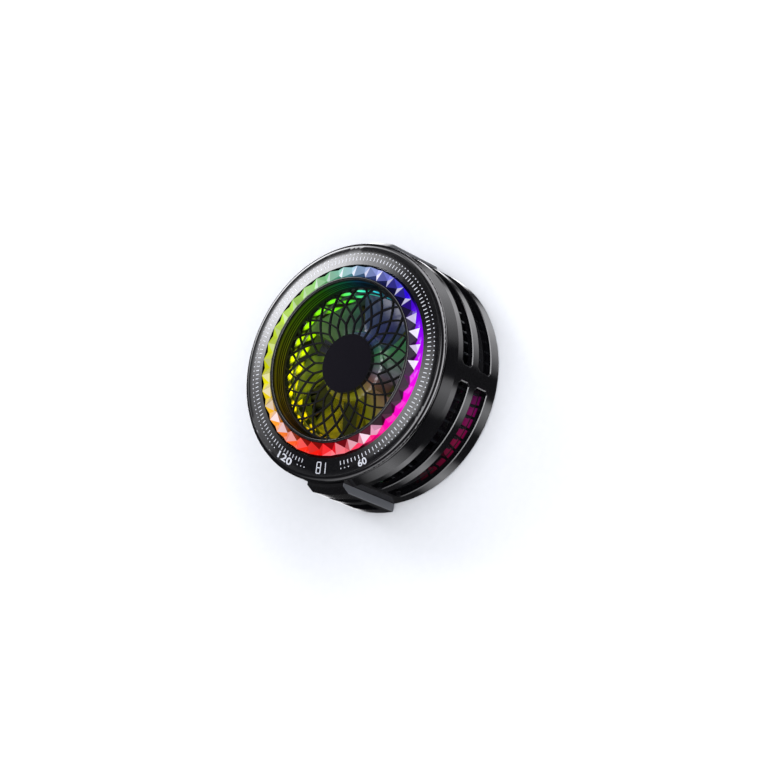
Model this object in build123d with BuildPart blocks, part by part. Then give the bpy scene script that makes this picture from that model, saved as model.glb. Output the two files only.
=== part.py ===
from build123d import *
import os
from math import asin, cos, degrees, radians, sin

# Round magnetic cooler for the back of a phone. Millimetres. The contact face lies on z = 0,
# the fan axis is +Z towards the lit front, and the charging port faces -Y.
os.makedirs("parts", exist_ok=True)

# Overall form
body_radius = 29.2
wall_thickness = 1.5
slip_gap = 0.15
glue_gap = 0.05
overrun = 1.0
board_thickness = 0.8
quarter_turn = 90.0
boss_angle = 45.0
screw_angle = 90.0
port_angle = -90.0

# Contact side: silicone pad, back cover, magnets
pad_thickness = 0.6
pad_margin = 0.2
cover_floor = 0.8
cover_gap = 0.2
cover_wall = 0.6
cover_wall_height = 2.0
magnet_width = 3.8
magnet_height = 1.6
magnet_groups = 4
magnets_in_group = 4
magnet_gap_angle = 0.6
shunt_thickness = 0.4
boss_radius = 2.0

# Cold plate, thermoelectric module and their packing
plate_gap = 0.7
plate_flange = 1.8
plate_flange_thickness = 0.8
interface_thickness = 0.2
module_side_share = 0.625
ceramic_thickness = 0.6
pellet_height = 1.6
pellet_side = 1.4
pellet_rows = 9
foam_gap = 0.9
foam_window_gap = 0.5
sensor_radius = 0.9
sensor_length = 2.4
sensor_gap = 3.7
lead_diameter = 0.8
lead_spacing = 3.0
lead_bend_radius = 1.6
lead_channel_share = 0.35

# Heat sink
sink_margin = 0.8
sink_base_thickness = 1.6
fin_count = 60
fin_thickness = 0.5
fin_centre_gap = 1.2
fin_wall_gap = 0.9
fin_low_height = 3.4
fin_tall_step = 4.5
fin_duct_gap = 0.45
fin_skirt_gap = 0.5
fin_skirt_rise = 0.7
post_clearance = 0.5

# Housing shell
shell_bottom = 0.4
shell_taper = 0.9
taper_gap = 0.3
taper_height = 3.0
neck_step = 0.4
neck_wall = 1.0
neck_height = 0.6
snap_depth = 0.3
snap_height = 0.6
shelf_gap = 0.3
shelf_thickness = 1.4
shelf_duct_gap = 0.25
low_vent_bottom = 3.5
low_vent_height = 5.0
vent_band = 2.45
high_vent_height = 4.0
vent_corner = 0.8
vent_edge = 0.25
side_pillar_width = 3.8
lug_side = 0.93
lug_rise = 1.95
far_lug_rise = 1.3
lug_top_slope = 1.15
lug_slope_height = 2.5
lug_edge = 0.35
lug_pillar = 3.2
lug_vent_margin = 1.5

# Charging port and boards
port_width = 8.94
port_height = 3.2
port_length = 7.35
port_wall = 0.3
port_recess = 0.65
port_hole_gap = 0.08
tongue_width = 6.7
tongue_thickness = 0.7
tongue_length = 5.6
port_block_length = 1.6
main_board_width = 16.6
main_board_depth = 4.3
main_board_gap = 1.8
board_neck_margin = 0.14
board_neck_gap = 0.45
chip_edge_gap = 1.8
front_wall = 1.3
chip_side = 3.0
chip_height = 0.8
inductor_side = 2.6
inductor_height = 1.6
capacitor_length = 1.6
capacitor_width = 0.8
capacitor_height = 0.8
capacitor_gap = 3.5
ribbon_width = 2.4
ribbon_thickness = 0.25
ribbon_inset = 0.7
ribbon_overlap = 0.8

# Fan frame and motor
fan_gap = 0.5
duct_wall = 1.1
fan_flange_gap = 1.0
fan_flange_thickness = 0.8
motor_base_margin = 1.2
motor_base_thickness = 1.2
tube_floor = 0.4
tube_wall = 0.7
strut_count = 4
strut_width = 2.0
sleeve_length = 4.4
sleeve_rise = 0.5
shaft_radius = 0.75
sleeve_wall = 0.91
running_gap = 0.04
thrust_thickness = 0.3
clip_margin = 0.55
clip_thickness = 0.25
clip_groove = 0.15
clip_height = 0.4
motor_board_inset = 0.2
stator_height = 2.2
stator_rise = 0.6
pole_count = 4
pole_width = 1.6
pole_shoe = 0.75
pole_gap_width = 1.7
coil_width = 3.2
coil_height = 3.0
coil_tube_gap = 0.8
coil_length = 1.9
coil_shoe_gap = 0.35
coil_corner = 0.6

# Rotor
air_gap = 0.35
magnet_ring_wall = 0.7
magnet_ring_height = 4.2
yoke_wall = 0.5
hub_wall = 0.8
hub_top_thickness = 0.8
hub_boss_wall = 0.85
hub_edge = 0.4
rotor_clearance = 0.4
blade_count = 6
blade_tip_gap = 0.5
blade_root_chord = 7.4
blade_tip_chord = 15.0
blade_root_angle = 38.0
blade_tip_angle = 18.0
blade_sweep = 10.0
blade_thickness = 0.7

# Lit front: carrier, lights, crystal ring, trim, mirror cone, grille
carrier_gap = 0.45
carrier_wall = 0.9
carrier_floor = 0.9
carrier_rim_height = 1.2
carrier_rim_wall = 0.6
light_board_gap = 0.3
light_count = 24
light_side = 1.6
light_height = 0.7
light_air_gap = 0.3
crystal_width = 3.1
crystal_rise = 1.15
crystal_inset = 0.1
crystal_flange = 0.75
crystal_foot = 0.5
trim_stand = 0.2
trim_lip_width = 0.75
trim_lip_height = 0.6
trim_wall = 0.45
trim_edge = 0.2
cone_draft = 0.55
cone_wall = 0.35
cone_steps = 5
cone_flange = 0.3
cone_foot = 0.4
guide_wall = 1.15
guide_height = 2.3
grille_thickness = 1.1
grille_hub_radius = 7.2
grille_spoke = 2.6
grille_rib_count = 24
grille_rib_width = 0.4
grille_rib_depth = 0.5
grille_rib_sweep = 28.0
badge_margin = 0.2
badge_thickness = 0.35

# Front bezel and its display
bezel_width = 5.6
bezel_fall = 0.55
bezel_shoulder_width = 1.6
bezel_shoulder_fall = 0.25
bezel_edge_width = 0.45
bezel_edge_fall = 0.5
bezel_rim = 0.65
bezel_rim_draft = 0.25
bezel_plate = 1.4
bezel_gap = 0.6
skirt_wall = 1.0
skirt_length = 2.5
display_angle = 62.0
display_margin_angle = 3.0
display_board_gap = 0.5
digit_width = 4.6
digit_depth = 2.0
digit_height = 0.9
digit_inset = 1.1

# Fasteners
screw_radius = 0.9
screw_clearance = 0.15
head_radius = 1.75
head_height = 0.9
cover_screw_length = 5.6
sink_screw_inset = 2.0
sink_screw_count = 3
fan_screw_inset = 1.9
fan_screw_count = 3
fan_screw_radius = 0.7
fan_head_radius = 1.3
fan_head_height = 0.7
drive_recess = 0.5

# Heights that follow from the stack, from the contact face up
cover_top = pad_thickness + cover_floor
plate_top = cover_top + plate_flange_thickness
cold_ceramic_bottom = plate_top + interface_thickness
pellet_bottom = cold_ceramic_bottom + ceramic_thickness
hot_ceramic_bottom = pellet_bottom + pellet_height
hot_pad_bottom = hot_ceramic_bottom + ceramic_thickness
sink_bottom = hot_pad_bottom + interface_thickness
sink_top = sink_bottom + sink_base_thickness
magnet_top = cover_top + magnet_height
boss_top = cover_top + cover_wall_height
fin_skirt_bottom = boss_top + fin_skirt_rise
fin_low_top = sink_top + fin_low_height
fin_tall_top = fin_low_top + fin_tall_step
duct_bottom = fin_low_top + fan_gap
shelf_bottom = fin_tall_top + shelf_gap
shelf_top = shelf_bottom + shelf_thickness
high_vent_bottom = low_vent_bottom + low_vent_height + vent_band
taper_start = shelf_top + taper_gap
shell_top = taper_start + taper_height
neck_top = shell_top + neck_height
lug_slope_start = neck_top - lug_slope_height
main_board_top = duct_bottom - ribbon_thickness - glue_gap
board_bottom = main_board_top - board_thickness
port_middle = main_board_top + glue_gap + port_height / 2
fan_flange_top = shelf_top + fan_flange_thickness
carrier_floor_top = fan_flange_top + guide_height
carrier_rim_top = carrier_floor_top + carrier_rim_height
grille_top = carrier_floor_top + grille_thickness
light_board_top = carrier_floor_top + board_thickness
crystal_bottom = light_board_top + light_height + light_air_gap
bezel_under = neck_top + bezel_gap
bezel_rim_height = bezel_under + bezel_rim
bezel_shoulder_top = bezel_rim_height + bezel_edge_fall
bezel_face_top = bezel_shoulder_top + bezel_shoulder_fall
bezel_inner_top = bezel_face_top + bezel_fall
bezel_inner_bottom = bezel_inner_top - bezel_plate
skirt_bottom = bezel_under - skirt_length
snap_top = skirt_bottom + snap_height
crystal_outer_top = bezel_inner_top - crystal_inset
crystal_inner_top = crystal_outer_top + crystal_rise
trim_top = crystal_inner_top + trim_stand
cone_top = trim_top - trim_lip_height
base_top = duct_bottom + motor_base_thickness
thrust_bottom = duct_bottom + tube_floor
thrust_top = thrust_bottom + thrust_thickness
sleeve_start = base_top + sleeve_rise
sleeve_top = sleeve_start + sleeve_length
rotor_bottom = base_top + board_thickness
stator_start = rotor_bottom + stator_rise
stator_middle = stator_start + stator_height / 2
yoke_plate_bottom = sleeve_top + rotor_clearance
yoke_plate_top = yoke_plate_bottom + yoke_wall
hub_plate_bottom = yoke_plate_top + glue_gap
hub_top = hub_plate_bottom + hub_top_thickness
shaft_top = hub_top - hub_top_thickness / 2

# Radii of the case and the contact side, from the wall inwards
bezel_radius = body_radius
inner_wall_radius = body_radius - wall_thickness
shell_top_radius = body_radius - shell_taper
neck_radius = shell_top_radius - neck_step
neck_inner_radius = neck_radius - neck_wall
skirt_radius = neck_inner_radius - slip_gap
skirt_inner = skirt_radius - skirt_wall
cover_radius = inner_wall_radius - cover_gap
pad_radius = cover_radius - pad_margin
magnet_outer_radius = cover_radius - cover_wall
magnet_inner_radius = magnet_outer_radius - magnet_width
boss_place_radius = magnet_inner_radius + magnet_width / 2
plate_radius = magnet_inner_radius - cover_wall - plate_gap - plate_flange
module_side = 2 * plate_radius * module_side_share
sensor_distance = module_side / 2 + sensor_gap
lead_channel = plate_radius * lead_channel_share
sink_screw_distance = plate_radius - sink_screw_inset
foam_radius = magnet_inner_radius - cover_wall - foam_gap
sink_radius = foam_radius + sink_margin
fin_skirt_radius = sink_radius + fin_skirt_gap
fin_outer_radius = inner_wall_radius - fin_wall_gap
lug_width = port_width + 2 * lug_side
lug_vent_width = lug_width - 2 * lug_vent_margin
lug_reach = body_radius + lug_rise
far_lug_reach = body_radius + far_lug_rise
port_mouth = lug_reach - port_recess
main_board_outer = inner_wall_radius - main_board_gap
main_board_inner = main_board_outer - main_board_depth
board_neck_width = port_width - board_neck_margin
board_neck_reach = lug_reach - front_wall - board_neck_gap
chip_offset = main_board_width / 2 - chip_edge_gap
capacitor_offset = chip_offset - capacitor_gap
front_ribbon_distance = main_board_outer - ribbon_inset
ribbon_reach = main_board_inner + ribbon_overlap

# Radii of the lit front and the fan's duct, from the bezel inwards
bezel_face_radius = body_radius - bezel_shoulder_width
bezel_shoulder_radius = body_radius - bezel_edge_width
bezel_under_radius = body_radius - bezel_rim_draft
bezel_inner_radius = body_radius - bezel_width
crystal_outer = bezel_inner_radius - slip_gap
crystal_inner = crystal_outer - crystal_width
trim_outer = crystal_inner - slip_gap
trim_inner = trim_outer - trim_lip_width
trim_bore = trim_outer - trim_wall
cone_top_radius = trim_inner - slip_gap
cone_bottom_radius = cone_top_radius - cone_draft
grille_ring_outer = trim_bore - slip_gap
grille_ring_inner = cone_bottom_radius - cone_foot
grille_node_radius = grille_hub_radius + grille_spoke
badge_radius = grille_hub_radius - badge_margin
duct_radius = grille_ring_inner - slip_gap
duct_outer = duct_radius + duct_wall
shelf_inner_radius = duct_outer + shelf_duct_gap
fin_tall_radius = duct_outer + fin_duct_gap
light_board_outer = bezel_inner_radius - light_board_gap
light_board_inner = trim_outer + slip_gap
light_place_radius = (light_board_inner + light_board_outer) / 2
carrier_inner = duct_radius + guide_wall + slip_gap
carrier_wall_radius = skirt_inner - carrier_gap
rim_inner = light_board_outer + slip_gap
rim_outer = rim_inner + carrier_rim_wall
fan_flange_radius = carrier_wall_radius - carrier_wall - fan_flange_gap
fan_screw_distance = fan_flange_radius - fan_screw_inset
display_board_outer = neck_inner_radius - display_board_gap
digit_radius = display_board_outer - digit_inset

# Radii of the motor and the rotor, from the shaft outwards
sleeve_radius = shaft_radius + running_gap + sleeve_wall
tube_radius = sleeve_radius + tube_wall
clip_radius = shaft_radius + clip_margin
hub_boss_radius = shaft_radius + hub_boss_wall
coil_inner = tube_radius + coil_tube_gap
coil_outer = coil_inner + coil_length
stator_radius = coil_outer + coil_shoe_gap + pole_shoe
motor_board_radius = stator_radius - motor_board_inset
motor_base_radius = stator_radius + motor_base_margin
ribbon_start = motor_board_radius - ribbon_inset
fin_inner_radius = motor_base_radius + fin_centre_gap
rotor_magnet_inner = stator_radius + air_gap
rotor_magnet_outer = rotor_magnet_inner + magnet_ring_wall
yoke_inner = rotor_magnet_outer + glue_gap
yoke_outer = yoke_inner + yoke_wall
hub_inner = yoke_outer + glue_gap
hub_outer = hub_inner + hub_wall
blade_tip_radius = duct_radius - blade_tip_gap


def outline(points):
    """A closed outline of (radius, height) points on the XZ plane, ready to be turned."""
    with BuildSketch(Plane.XZ) as section:
        with BuildLine():
            Polyline(*points, close=True)
        make_face()
    return section.sketch


def disc(outer, height, inner=0.0):
    """A flat disc or washer at a height."""
    with BuildSketch(Plane.XY.offset(height)) as section:
        Circle(outer)
        if inner > 0:
            Circle(inner, mode=Mode.SUBTRACT)
    return section.sketch


def sector(outer, inner, height, middle, spread):
    """A washer's sector at a height, centred on an angle and as wide as the spread."""
    with BuildSketch(Plane.XY.offset(height)) as section:
        with BuildLine():
            start = middle - spread / 2
            outer_arc = CenterArc((0, 0), outer, start, spread)
            inner_arc = CenterArc((0, 0), inner, start, spread)
            Line(outer_arc @ 0, inner_arc @ 0)
            Line(outer_arc @ 1, inner_arc @ 1)
        make_face()
    return section.sketch


def screw(radius, length, cap_radius, cap_height, top_side):
    """A pan head screw on +Z with its head's seat on z = 0, the shank up or down."""
    shank = length if top_side else -length
    cap = -cap_height if top_side else cap_height
    with BuildPart(mode=Mode.PRIVATE) as body:
        with BuildSketch():
            Circle(radius)
        extrude(amount=shank)
        with BuildSketch():
            Circle(cap_radius)
        extrude(amount=cap)
        with BuildSketch(Plane.XY.offset(cap)):
            Rectangle(cap_radius, drive_recess)
            Rectangle(drive_recess, cap_radius)
        extrude(amount=-cap / 2, mode=Mode.SUBTRACT)
    return body.part


def curved_rib(sweep_angle):
    """A flat rib of the grille that curves from a node out to the ring."""
    rib_end = (grille_ring_inner + grille_ring_outer) / 2
    rib_middle = (grille_node_radius + rib_end) / 2
    half = radians(sweep_angle / 2)
    full = radians(sweep_angle)
    centre_line = ThreePointArc(
        (grille_node_radius, 0),
        (rib_middle * cos(half), rib_middle * sin(half)),
        (rib_end * cos(full), rib_end * sin(full)),
    )
    return trace(centre_line, line_width=grille_rib_width).face()


def finish(piece, name):
    """Labels a finished piece and writes its file."""
    piece.part.label = name
    export_step(piece.part, f"parts/{name}.step")


# Silicone contact pad round the cold plate
with BuildPart() as contact_pad:
    extrude(disc(pad_radius, 0, plate_radius + slip_gap), amount=pad_thickness)
finish(contact_pad, "contact_pad")

# Back cover: floor, two walls that pocket the magnets, and four screw bosses
with BuildPart() as back_cover:
    extrude(disc(cover_radius, pad_thickness, plate_radius + slip_gap), amount=cover_floor)
    outer_wall = disc(cover_radius, cover_top, cover_radius - cover_wall + glue_gap)
    inner_wall = disc(magnet_inner_radius - glue_gap, cover_top, magnet_inner_radius - cover_wall)
    extrude(outer_wall, amount=cover_wall_height)
    extrude(inner_wall, amount=cover_wall_height)
    with BuildSketch(Plane.XY.offset(cover_top)):
        with PolarLocations(boss_place_radius, magnet_groups, start_angle=boss_angle):
            Circle(boss_radius)
    extrude(amount=cover_wall_height)
    with Locations(Plane.XY.offset(pad_thickness)):
        with PolarLocations(boss_place_radius, magnet_groups, start_angle=boss_angle):
            Cylinder(
                head_radius + screw_clearance,
                head_height + screw_clearance,
                align=(Align.CENTER, Align.CENTER, Align.MIN),
                mode=Mode.SUBTRACT,
            )
            Cylinder(
                screw_radius + screw_clearance,
                cover_floor + cover_wall_height,
                align=(Align.CENTER, Align.CENTER, Align.MIN),
                mode=Mode.SUBTRACT,
            )
finish(back_cover, "back_cover")

# Arc magnets, four to a group, with a gap at each screw boss
boss_half_angle = degrees(asin((boss_radius + slip_gap) / magnet_inner_radius))
group_angle = 360 / magnet_groups - 2 * boss_half_angle
magnet_angle = group_angle / magnets_in_group - magnet_gap_angle
with BuildPart() as magnet_array:
    for group in range(magnet_groups):
        for place in range(magnets_in_group):
            step = (place - (magnets_in_group - 1) / 2) * (magnet_angle + magnet_gap_angle)
            middle = group * 360 / magnet_groups + step
            arc = sector(magnet_outer_radius, magnet_inner_radius, cover_top, middle, magnet_angle)
            extrude(arc, amount=magnet_height)
finish(magnet_array, "magnet_array")

# Steel ring that closes the magnets' field, notched at the bosses
with BuildPart() as magnet_shunt:
    extrude(disc(magnet_outer_radius, magnet_top, magnet_inner_radius), amount=shunt_thickness)
    with BuildSketch(Plane.XY.offset(magnet_top)):
        with PolarLocations(boss_place_radius, magnet_groups, start_angle=boss_angle):
            Circle(boss_radius + slip_gap)
    extrude(amount=shunt_thickness, mode=Mode.SUBTRACT)
finish(magnet_shunt, "magnet_shunt")

# Cold plate: a disc that touches the phone and a flange that rests on the cover
with BuildPart() as cold_plate:
    extrude(disc(plate_radius, 0), amount=plate_top)
    extrude(disc(plate_radius + plate_flange, cover_top), amount=plate_flange_thickness)
    with BuildSketch(Plane.XY.offset(plate_top)):
        with PolarLocations(sink_screw_distance, sink_screw_count, start_angle=screw_angle):
            Circle(screw_radius + glue_gap)
    extrude(amount=pad_thickness - plate_top, mode=Mode.SUBTRACT)
finish(cold_plate, "cold_plate")

# Thermoelectric module: two ceramics, the pellets between them and a thermal pad on each side
with BuildPart() as cold_interface:
    with BuildSketch(Plane.XY.offset(plate_top)):
        Rectangle(module_side, module_side)
    extrude(amount=interface_thickness)
finish(cold_interface, "cold_interface")

with BuildPart() as cold_ceramic:
    with BuildSketch(Plane.XY.offset(cold_ceramic_bottom)):
        Rectangle(module_side, module_side)
    extrude(amount=ceramic_thickness)
finish(cold_ceramic, "cold_ceramic")

pellet_pitch = (module_side - pellet_side) / pellet_rows
with BuildPart() as module_pellets:
    with BuildSketch(Plane.XY.offset(pellet_bottom)):
        with GridLocations(pellet_pitch, pellet_pitch, pellet_rows, pellet_rows):
            Rectangle(pellet_side, pellet_side)
    extrude(amount=pellet_height)
finish(module_pellets, "module_pellets")

with BuildPart() as hot_ceramic:
    with BuildSketch(Plane.XY.offset(hot_ceramic_bottom)):
        Rectangle(module_side, module_side)
    extrude(amount=ceramic_thickness)
finish(hot_ceramic, "hot_ceramic")

with BuildPart() as hot_interface:
    with BuildSketch(Plane.XY.offset(hot_pad_bottom)):
        Rectangle(module_side, module_side)
    extrude(amount=interface_thickness)
finish(hot_interface, "hot_interface")

# Foam that keeps the cold plate from the heat sink, cut for module, screws, sensor and leads
lead_height = (boss_top + hot_ceramic_bottom) / 2
with BuildPart() as insulation_foam:
    extrude(disc(foam_radius, plate_top), amount=sink_bottom - plate_top)
    with BuildSketch(Plane.XY.offset(plate_top)):
        Rectangle(module_side + 2 * foam_window_gap, module_side + 2 * foam_window_gap)
        with PolarLocations(sink_screw_distance, sink_screw_count, start_angle=screw_angle):
            Circle(screw_radius + 2 * screw_clearance)
        with Locations((sensor_distance, 0)):
            Rectangle(sensor_length + slip_gap, 2 * sensor_radius + 2 * slip_gap)
        with Locations((0, -foam_radius)):
            Rectangle(lead_channel, foam_radius)
    extrude(amount=sink_bottom - plate_top, mode=Mode.SUBTRACT)
finish(insulation_foam, "insulation_foam")

# Temperature sensor bead, lying on the cold plate's flange
with BuildPart() as temperature_sensor:
    with BuildSketch(Plane.XY.offset(plate_top)):
        with Locations((sensor_distance, 0)):
            RectangleRounded(sensor_length, 2 * sensor_radius, sensor_radius - glue_gap)
    extrude(amount=2 * sensor_radius)
    fillet(temperature_sensor.faces().sort_by(Axis.Z)[-1].edges(), sensor_radius / 2)
finish(temperature_sensor, "temperature_sensor")

# The module's two leads: out between the ceramics, then up to the board's underside
lead_rise = main_board_inner + lead_diameter * 2
lead_start = module_side / 2 - pellet_side / 4
with BuildPart() as module_leads:
    for side in (-1, 1):
        across = side * lead_spacing / 2
        with BuildLine() as route:
            FilletPolyline(
                (across, -lead_start, lead_height),
                (across, -lead_rise, lead_height),
                (across, -lead_rise, board_bottom),
                radius=lead_bend_radius,
            )
        with BuildSketch(Plane(origin=route.line @ 0, z_dir=route.line % 0)):
            Circle(lead_diameter / 2)
        sweep(path=route.line)
finish(module_leads, "module_leads")

# Heat sink: base plate and sixty radial fins, low under the fan and tall round its duct
with BuildPart() as heat_sink:
    extrude(disc(sink_radius, sink_bottom), amount=sink_base_thickness)
    with BuildSketch(Plane.XZ) as fin_shape:
        with BuildLine():
            Polyline(
                (fin_inner_radius, sink_bottom + sink_base_thickness / 2),
                (fin_inner_radius, fin_low_top),
                (fin_tall_radius, fin_low_top),
                (fin_tall_radius, fin_tall_top),
                (fin_outer_radius, fin_tall_top),
                (fin_outer_radius, fin_skirt_bottom),
                (fin_skirt_radius, fin_skirt_bottom),
                (sink_radius - fin_thickness, sink_bottom + sink_base_thickness / 2),
                close=True,
            )
        make_face()
    fin = extrude(amount=fin_thickness / 2, both=True, mode=Mode.PRIVATE)
    with PolarLocations(0, fin_count):
        add(fin)
    # Room for the housing's posts and the webs that tie them to its wall
    with BuildSketch(Plane.XY):
        with PolarLocations(boss_place_radius, magnet_groups, start_angle=boss_angle):
            Circle(boss_radius + post_clearance)
            with Locations((overrun + boss_radius, 0)):
                Rectangle(2 * overrun + 2 * boss_radius, 2 * boss_radius + 2 * slip_gap)
    extrude(amount=fin_tall_top + overrun, mode=Mode.SUBTRACT)
    # Access for the three clamping screws
    with BuildSketch(Plane.XY.offset(sink_top)):
        with PolarLocations(sink_screw_distance, sink_screw_count, start_angle=screw_angle):
            Circle(head_radius + 2 * screw_clearance)
    extrude(amount=fin_tall_top, mode=Mode.SUBTRACT)
    with BuildSketch(Plane.XY.offset(sink_bottom)):
        with PolarLocations(sink_screw_distance, sink_screw_count, start_angle=screw_angle):
            Circle(screw_radius + screw_clearance)
    extrude(amount=sink_base_thickness, mode=Mode.SUBTRACT)
    # Bay for the main board and a chase for the leads, both on the port's side
    bay_depth = fin_outer_radius - main_board_inner + 2 * overrun
    bay_middle = -(main_board_inner - overrun + bay_depth / 2)
    with BuildSketch(Plane.XY.offset(board_bottom - 2 * overrun)):
        with Locations((0, bay_middle)):
            Rectangle(main_board_width + 2 * overrun, bay_depth)
    extrude(amount=fin_tall_top, mode=Mode.SUBTRACT)
    with BuildSketch(Plane.XY):
        with Locations((0, bay_middle)):
            Rectangle(lead_channel, bay_depth)
    extrude(amount=fin_tall_top + overrun, mode=Mode.SUBTRACT)
    with BuildSketch(Plane.XY.offset(fin_low_top)):
        with Locations((0, -main_board_inner)):
            Rectangle(ribbon_width + 4 * slip_gap, 4 * overrun + 2 * slip_gap)
    extrude(amount=fin_tall_top, mode=Mode.SUBTRACT)
finish(heat_sink, "heat_sink")


def vent_cut(bottom, height):
    """The four arc slots of one vent row, between the side pillars and the lugs."""
    pillar_angle = degrees(asin(side_pillar_width / 2 / body_radius))
    lug_angle = degrees(asin((lug_width / 2 + lug_pillar) / body_radius))
    spread = quarter_turn - pillar_angle - lug_angle
    with BuildPart(mode=Mode.PRIVATE) as slots:
        for quarter in range(4):
            near = lug_angle if quarter % 2 else pillar_angle
            middle = quarter * quarter_turn + near + spread / 2
            reach = body_radius + overrun
            slot = sector(reach, inner_wall_radius - overrun / 2, bottom, middle, spread)
            extrude(slot, amount=height)
        ends = slots.edges().filter_by(GeomType.LINE).filter_by(Plane.XY)
        chamfer(ends, vent_corner)
    return slots.part


def box(width, start, reach, bottom, height):
    """A box astride the YZ plane that runs from y = -start out to y = -reach."""
    with BuildPart(mode=Mode.PRIVATE) as block:
        with BuildSketch(Plane.XY.offset(bottom)):
            with Locations((0, -(start + reach) / 2)):
                Rectangle(width, reach - start)
        extrude(amount=height)
    return block.part


def lug(reach, side):
    """A lug whose face follows the round case, on the port's side (-1) or the far side (1)."""
    root = neck_inner_radius
    with BuildPart(mode=Mode.PRIVATE) as block:
        revolve(
            outline(
                [
                    (root, shell_bottom),
                    (reach, shell_bottom),
                    (reach, lug_slope_start),
                    (reach - lug_top_slope, neck_top),
                    (root, neck_top),
                ]
            ),
            axis=Axis.Z,
        )
        with BuildSketch():
            with Locations((0, side * reach)):
                Rectangle(lug_width, 2 * (reach - root) + 2 * wall_thickness)
        extrude(amount=neck_top, mode=Mode.INTERSECT)
        corners = block.edges().filter_by(Axis.Z).filter_by(lambda e: abs(e.center().Y) > body_radius)
        fillet(corners, lug_edge)
    return block.part


# Housing shell: tapered wall, neck for the bezel, inner shelf for the fan, posts and lugs
snap_recess = neck_inner_radius + snap_depth
with BuildPart() as housing:
    add(lug(lug_reach, -1))
    add(lug(far_lug_reach, 1))
    extrude(disc(inner_wall_radius, 0), amount=shelf_bottom, mode=Mode.SUBTRACT)
    extrude(disc(snap_recess, shelf_bottom), amount=shell_top, mode=Mode.SUBTRACT)
    revolve(
        outline(
            [
                (body_radius, shell_bottom),
                (body_radius, taper_start),
                (shell_top_radius, shell_top),
                (neck_radius, shell_top),
                (neck_radius, neck_top),
                (neck_inner_radius, neck_top),
                (neck_inner_radius, snap_top + slip_gap),
                (snap_recess, snap_top + slip_gap),
                (snap_recess, skirt_bottom - slip_gap),
                (neck_inner_radius, skirt_bottom - slip_gap),
                (neck_inner_radius, shelf_top),
                (shelf_inner_radius, shelf_top),
                (shelf_inner_radius, shelf_bottom),
                (inner_wall_radius, shelf_bottom),
                (inner_wall_radius, shell_bottom),
            ]
        ),
        axis=Axis.Z,
    )
    # Posts for the cover's screws, tied to the wall
    post_bottom = boss_top + glue_gap
    with BuildSketch(Plane.XY.offset(post_bottom)):
        with PolarLocations(boss_place_radius, magnet_groups, start_angle=boss_angle):
            Circle(boss_radius)
        with PolarLocations(boss_place_radius + boss_radius / 2, magnet_groups, start_angle=boss_angle):
            Rectangle(boss_radius + overrun, 2 * boss_radius)
    extrude(amount=shelf_bottom - post_bottom)
    with BuildSketch(Plane.XY.offset(post_bottom)):
        with PolarLocations(boss_place_radius, magnet_groups, start_angle=boss_angle):
            Circle(screw_radius + glue_gap)
    extrude(amount=cover_screw_length, mode=Mode.SUBTRACT)
    # Vents, then a chamfer round their outer edges
    add(vent_cut(low_vent_bottom, low_vent_height), mode=Mode.SUBTRACT)
    add(vent_cut(high_vent_bottom, high_vent_height), mode=Mode.SUBTRACT)
    skins = housing.faces().filter_by(GeomType.CYLINDER)
    skins = skins.filter_by(lambda f: abs((f.radius or 0) - body_radius) < slip_gap)
    rims = [edge for skin in skins for wire in skin.inner_wires() for edge in wire.edges()]
    chamfer(rims, vent_edge)
    # Port lug: bay for the board and port from inside, hole for the port, vent slot below it
    port_bay_width = port_width + 2 * slip_gap
    port_bay_top = port_middle + port_height / 2 + slip_gap
    bay_start = inner_wall_radius - overrun
    bay = box(port_bay_width, bay_start, lug_reach - front_wall, board_bottom, port_bay_top - board_bottom)
    add(bay, mode=Mode.SUBTRACT)
    with BuildSketch(Plane.XZ.offset(lug_reach - front_wall - overrun)):
        with Locations((0, port_middle)):
            SlotOverall(port_width + 2 * port_hole_gap, port_height + 2 * port_hole_gap)
    extrude(amount=2 * overrun + front_wall, mode=Mode.SUBTRACT)
    lug_slot = box(lug_vent_width, bay_start, lug_reach + overrun, low_vent_bottom, low_vent_height)
    add(lug_slot, mode=Mode.SUBTRACT)
    # Threads for the fan's screws and a slot for the front board's cable
    with BuildSketch(Plane.XY.offset(shelf_top)):
        with PolarLocations(fan_screw_distance, fan_screw_count, start_angle=screw_angle):
            Circle(fan_screw_radius + glue_gap)
        with Locations((chip_offset, -front_ribbon_distance)):
            Rectangle(ribbon_width + 2 * slip_gap, ribbon_thickness + 2 * slip_gap)
    extrude(amount=-shelf_thickness, mode=Mode.SUBTRACT)
finish(housing, "housing")

# Main board with a neck that carries the port, its chip and small parts
with BuildPart() as main_board:
    add(box(main_board_width, main_board_inner, main_board_outer, board_bottom, board_thickness))
    add(box(board_neck_width, main_board_inner, board_neck_reach, board_bottom, board_thickness))
finish(main_board, "main_board")

chip_distance = (main_board_inner + main_board_outer) / 2
with BuildPart() as controller_chip:
    with BuildSketch(Plane.XY.offset(main_board_top)):
        with Locations((-chip_offset, -chip_distance)):
            Rectangle(chip_side, chip_side)
    extrude(amount=chip_height)
finish(controller_chip, "controller_chip")

with BuildPart() as board_components:
    with BuildSketch(Plane.XY.offset(main_board_top)):
        with Locations((chip_offset, -main_board_inner - slip_gap - inductor_side / 2)):
            RectangleRounded(inductor_side, inductor_side, capacitor_width / 2)
    extrude(amount=inductor_height)
    with BuildSketch(Plane.XY.offset(main_board_top)):
        for side in (-1, 1):
            with Locations((side * capacitor_offset, -main_board_inner - capacitor_width)):
                Rectangle(capacitor_length, capacitor_width)
    extrude(amount=capacitor_height)
finish(board_components, "board_components")

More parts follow.
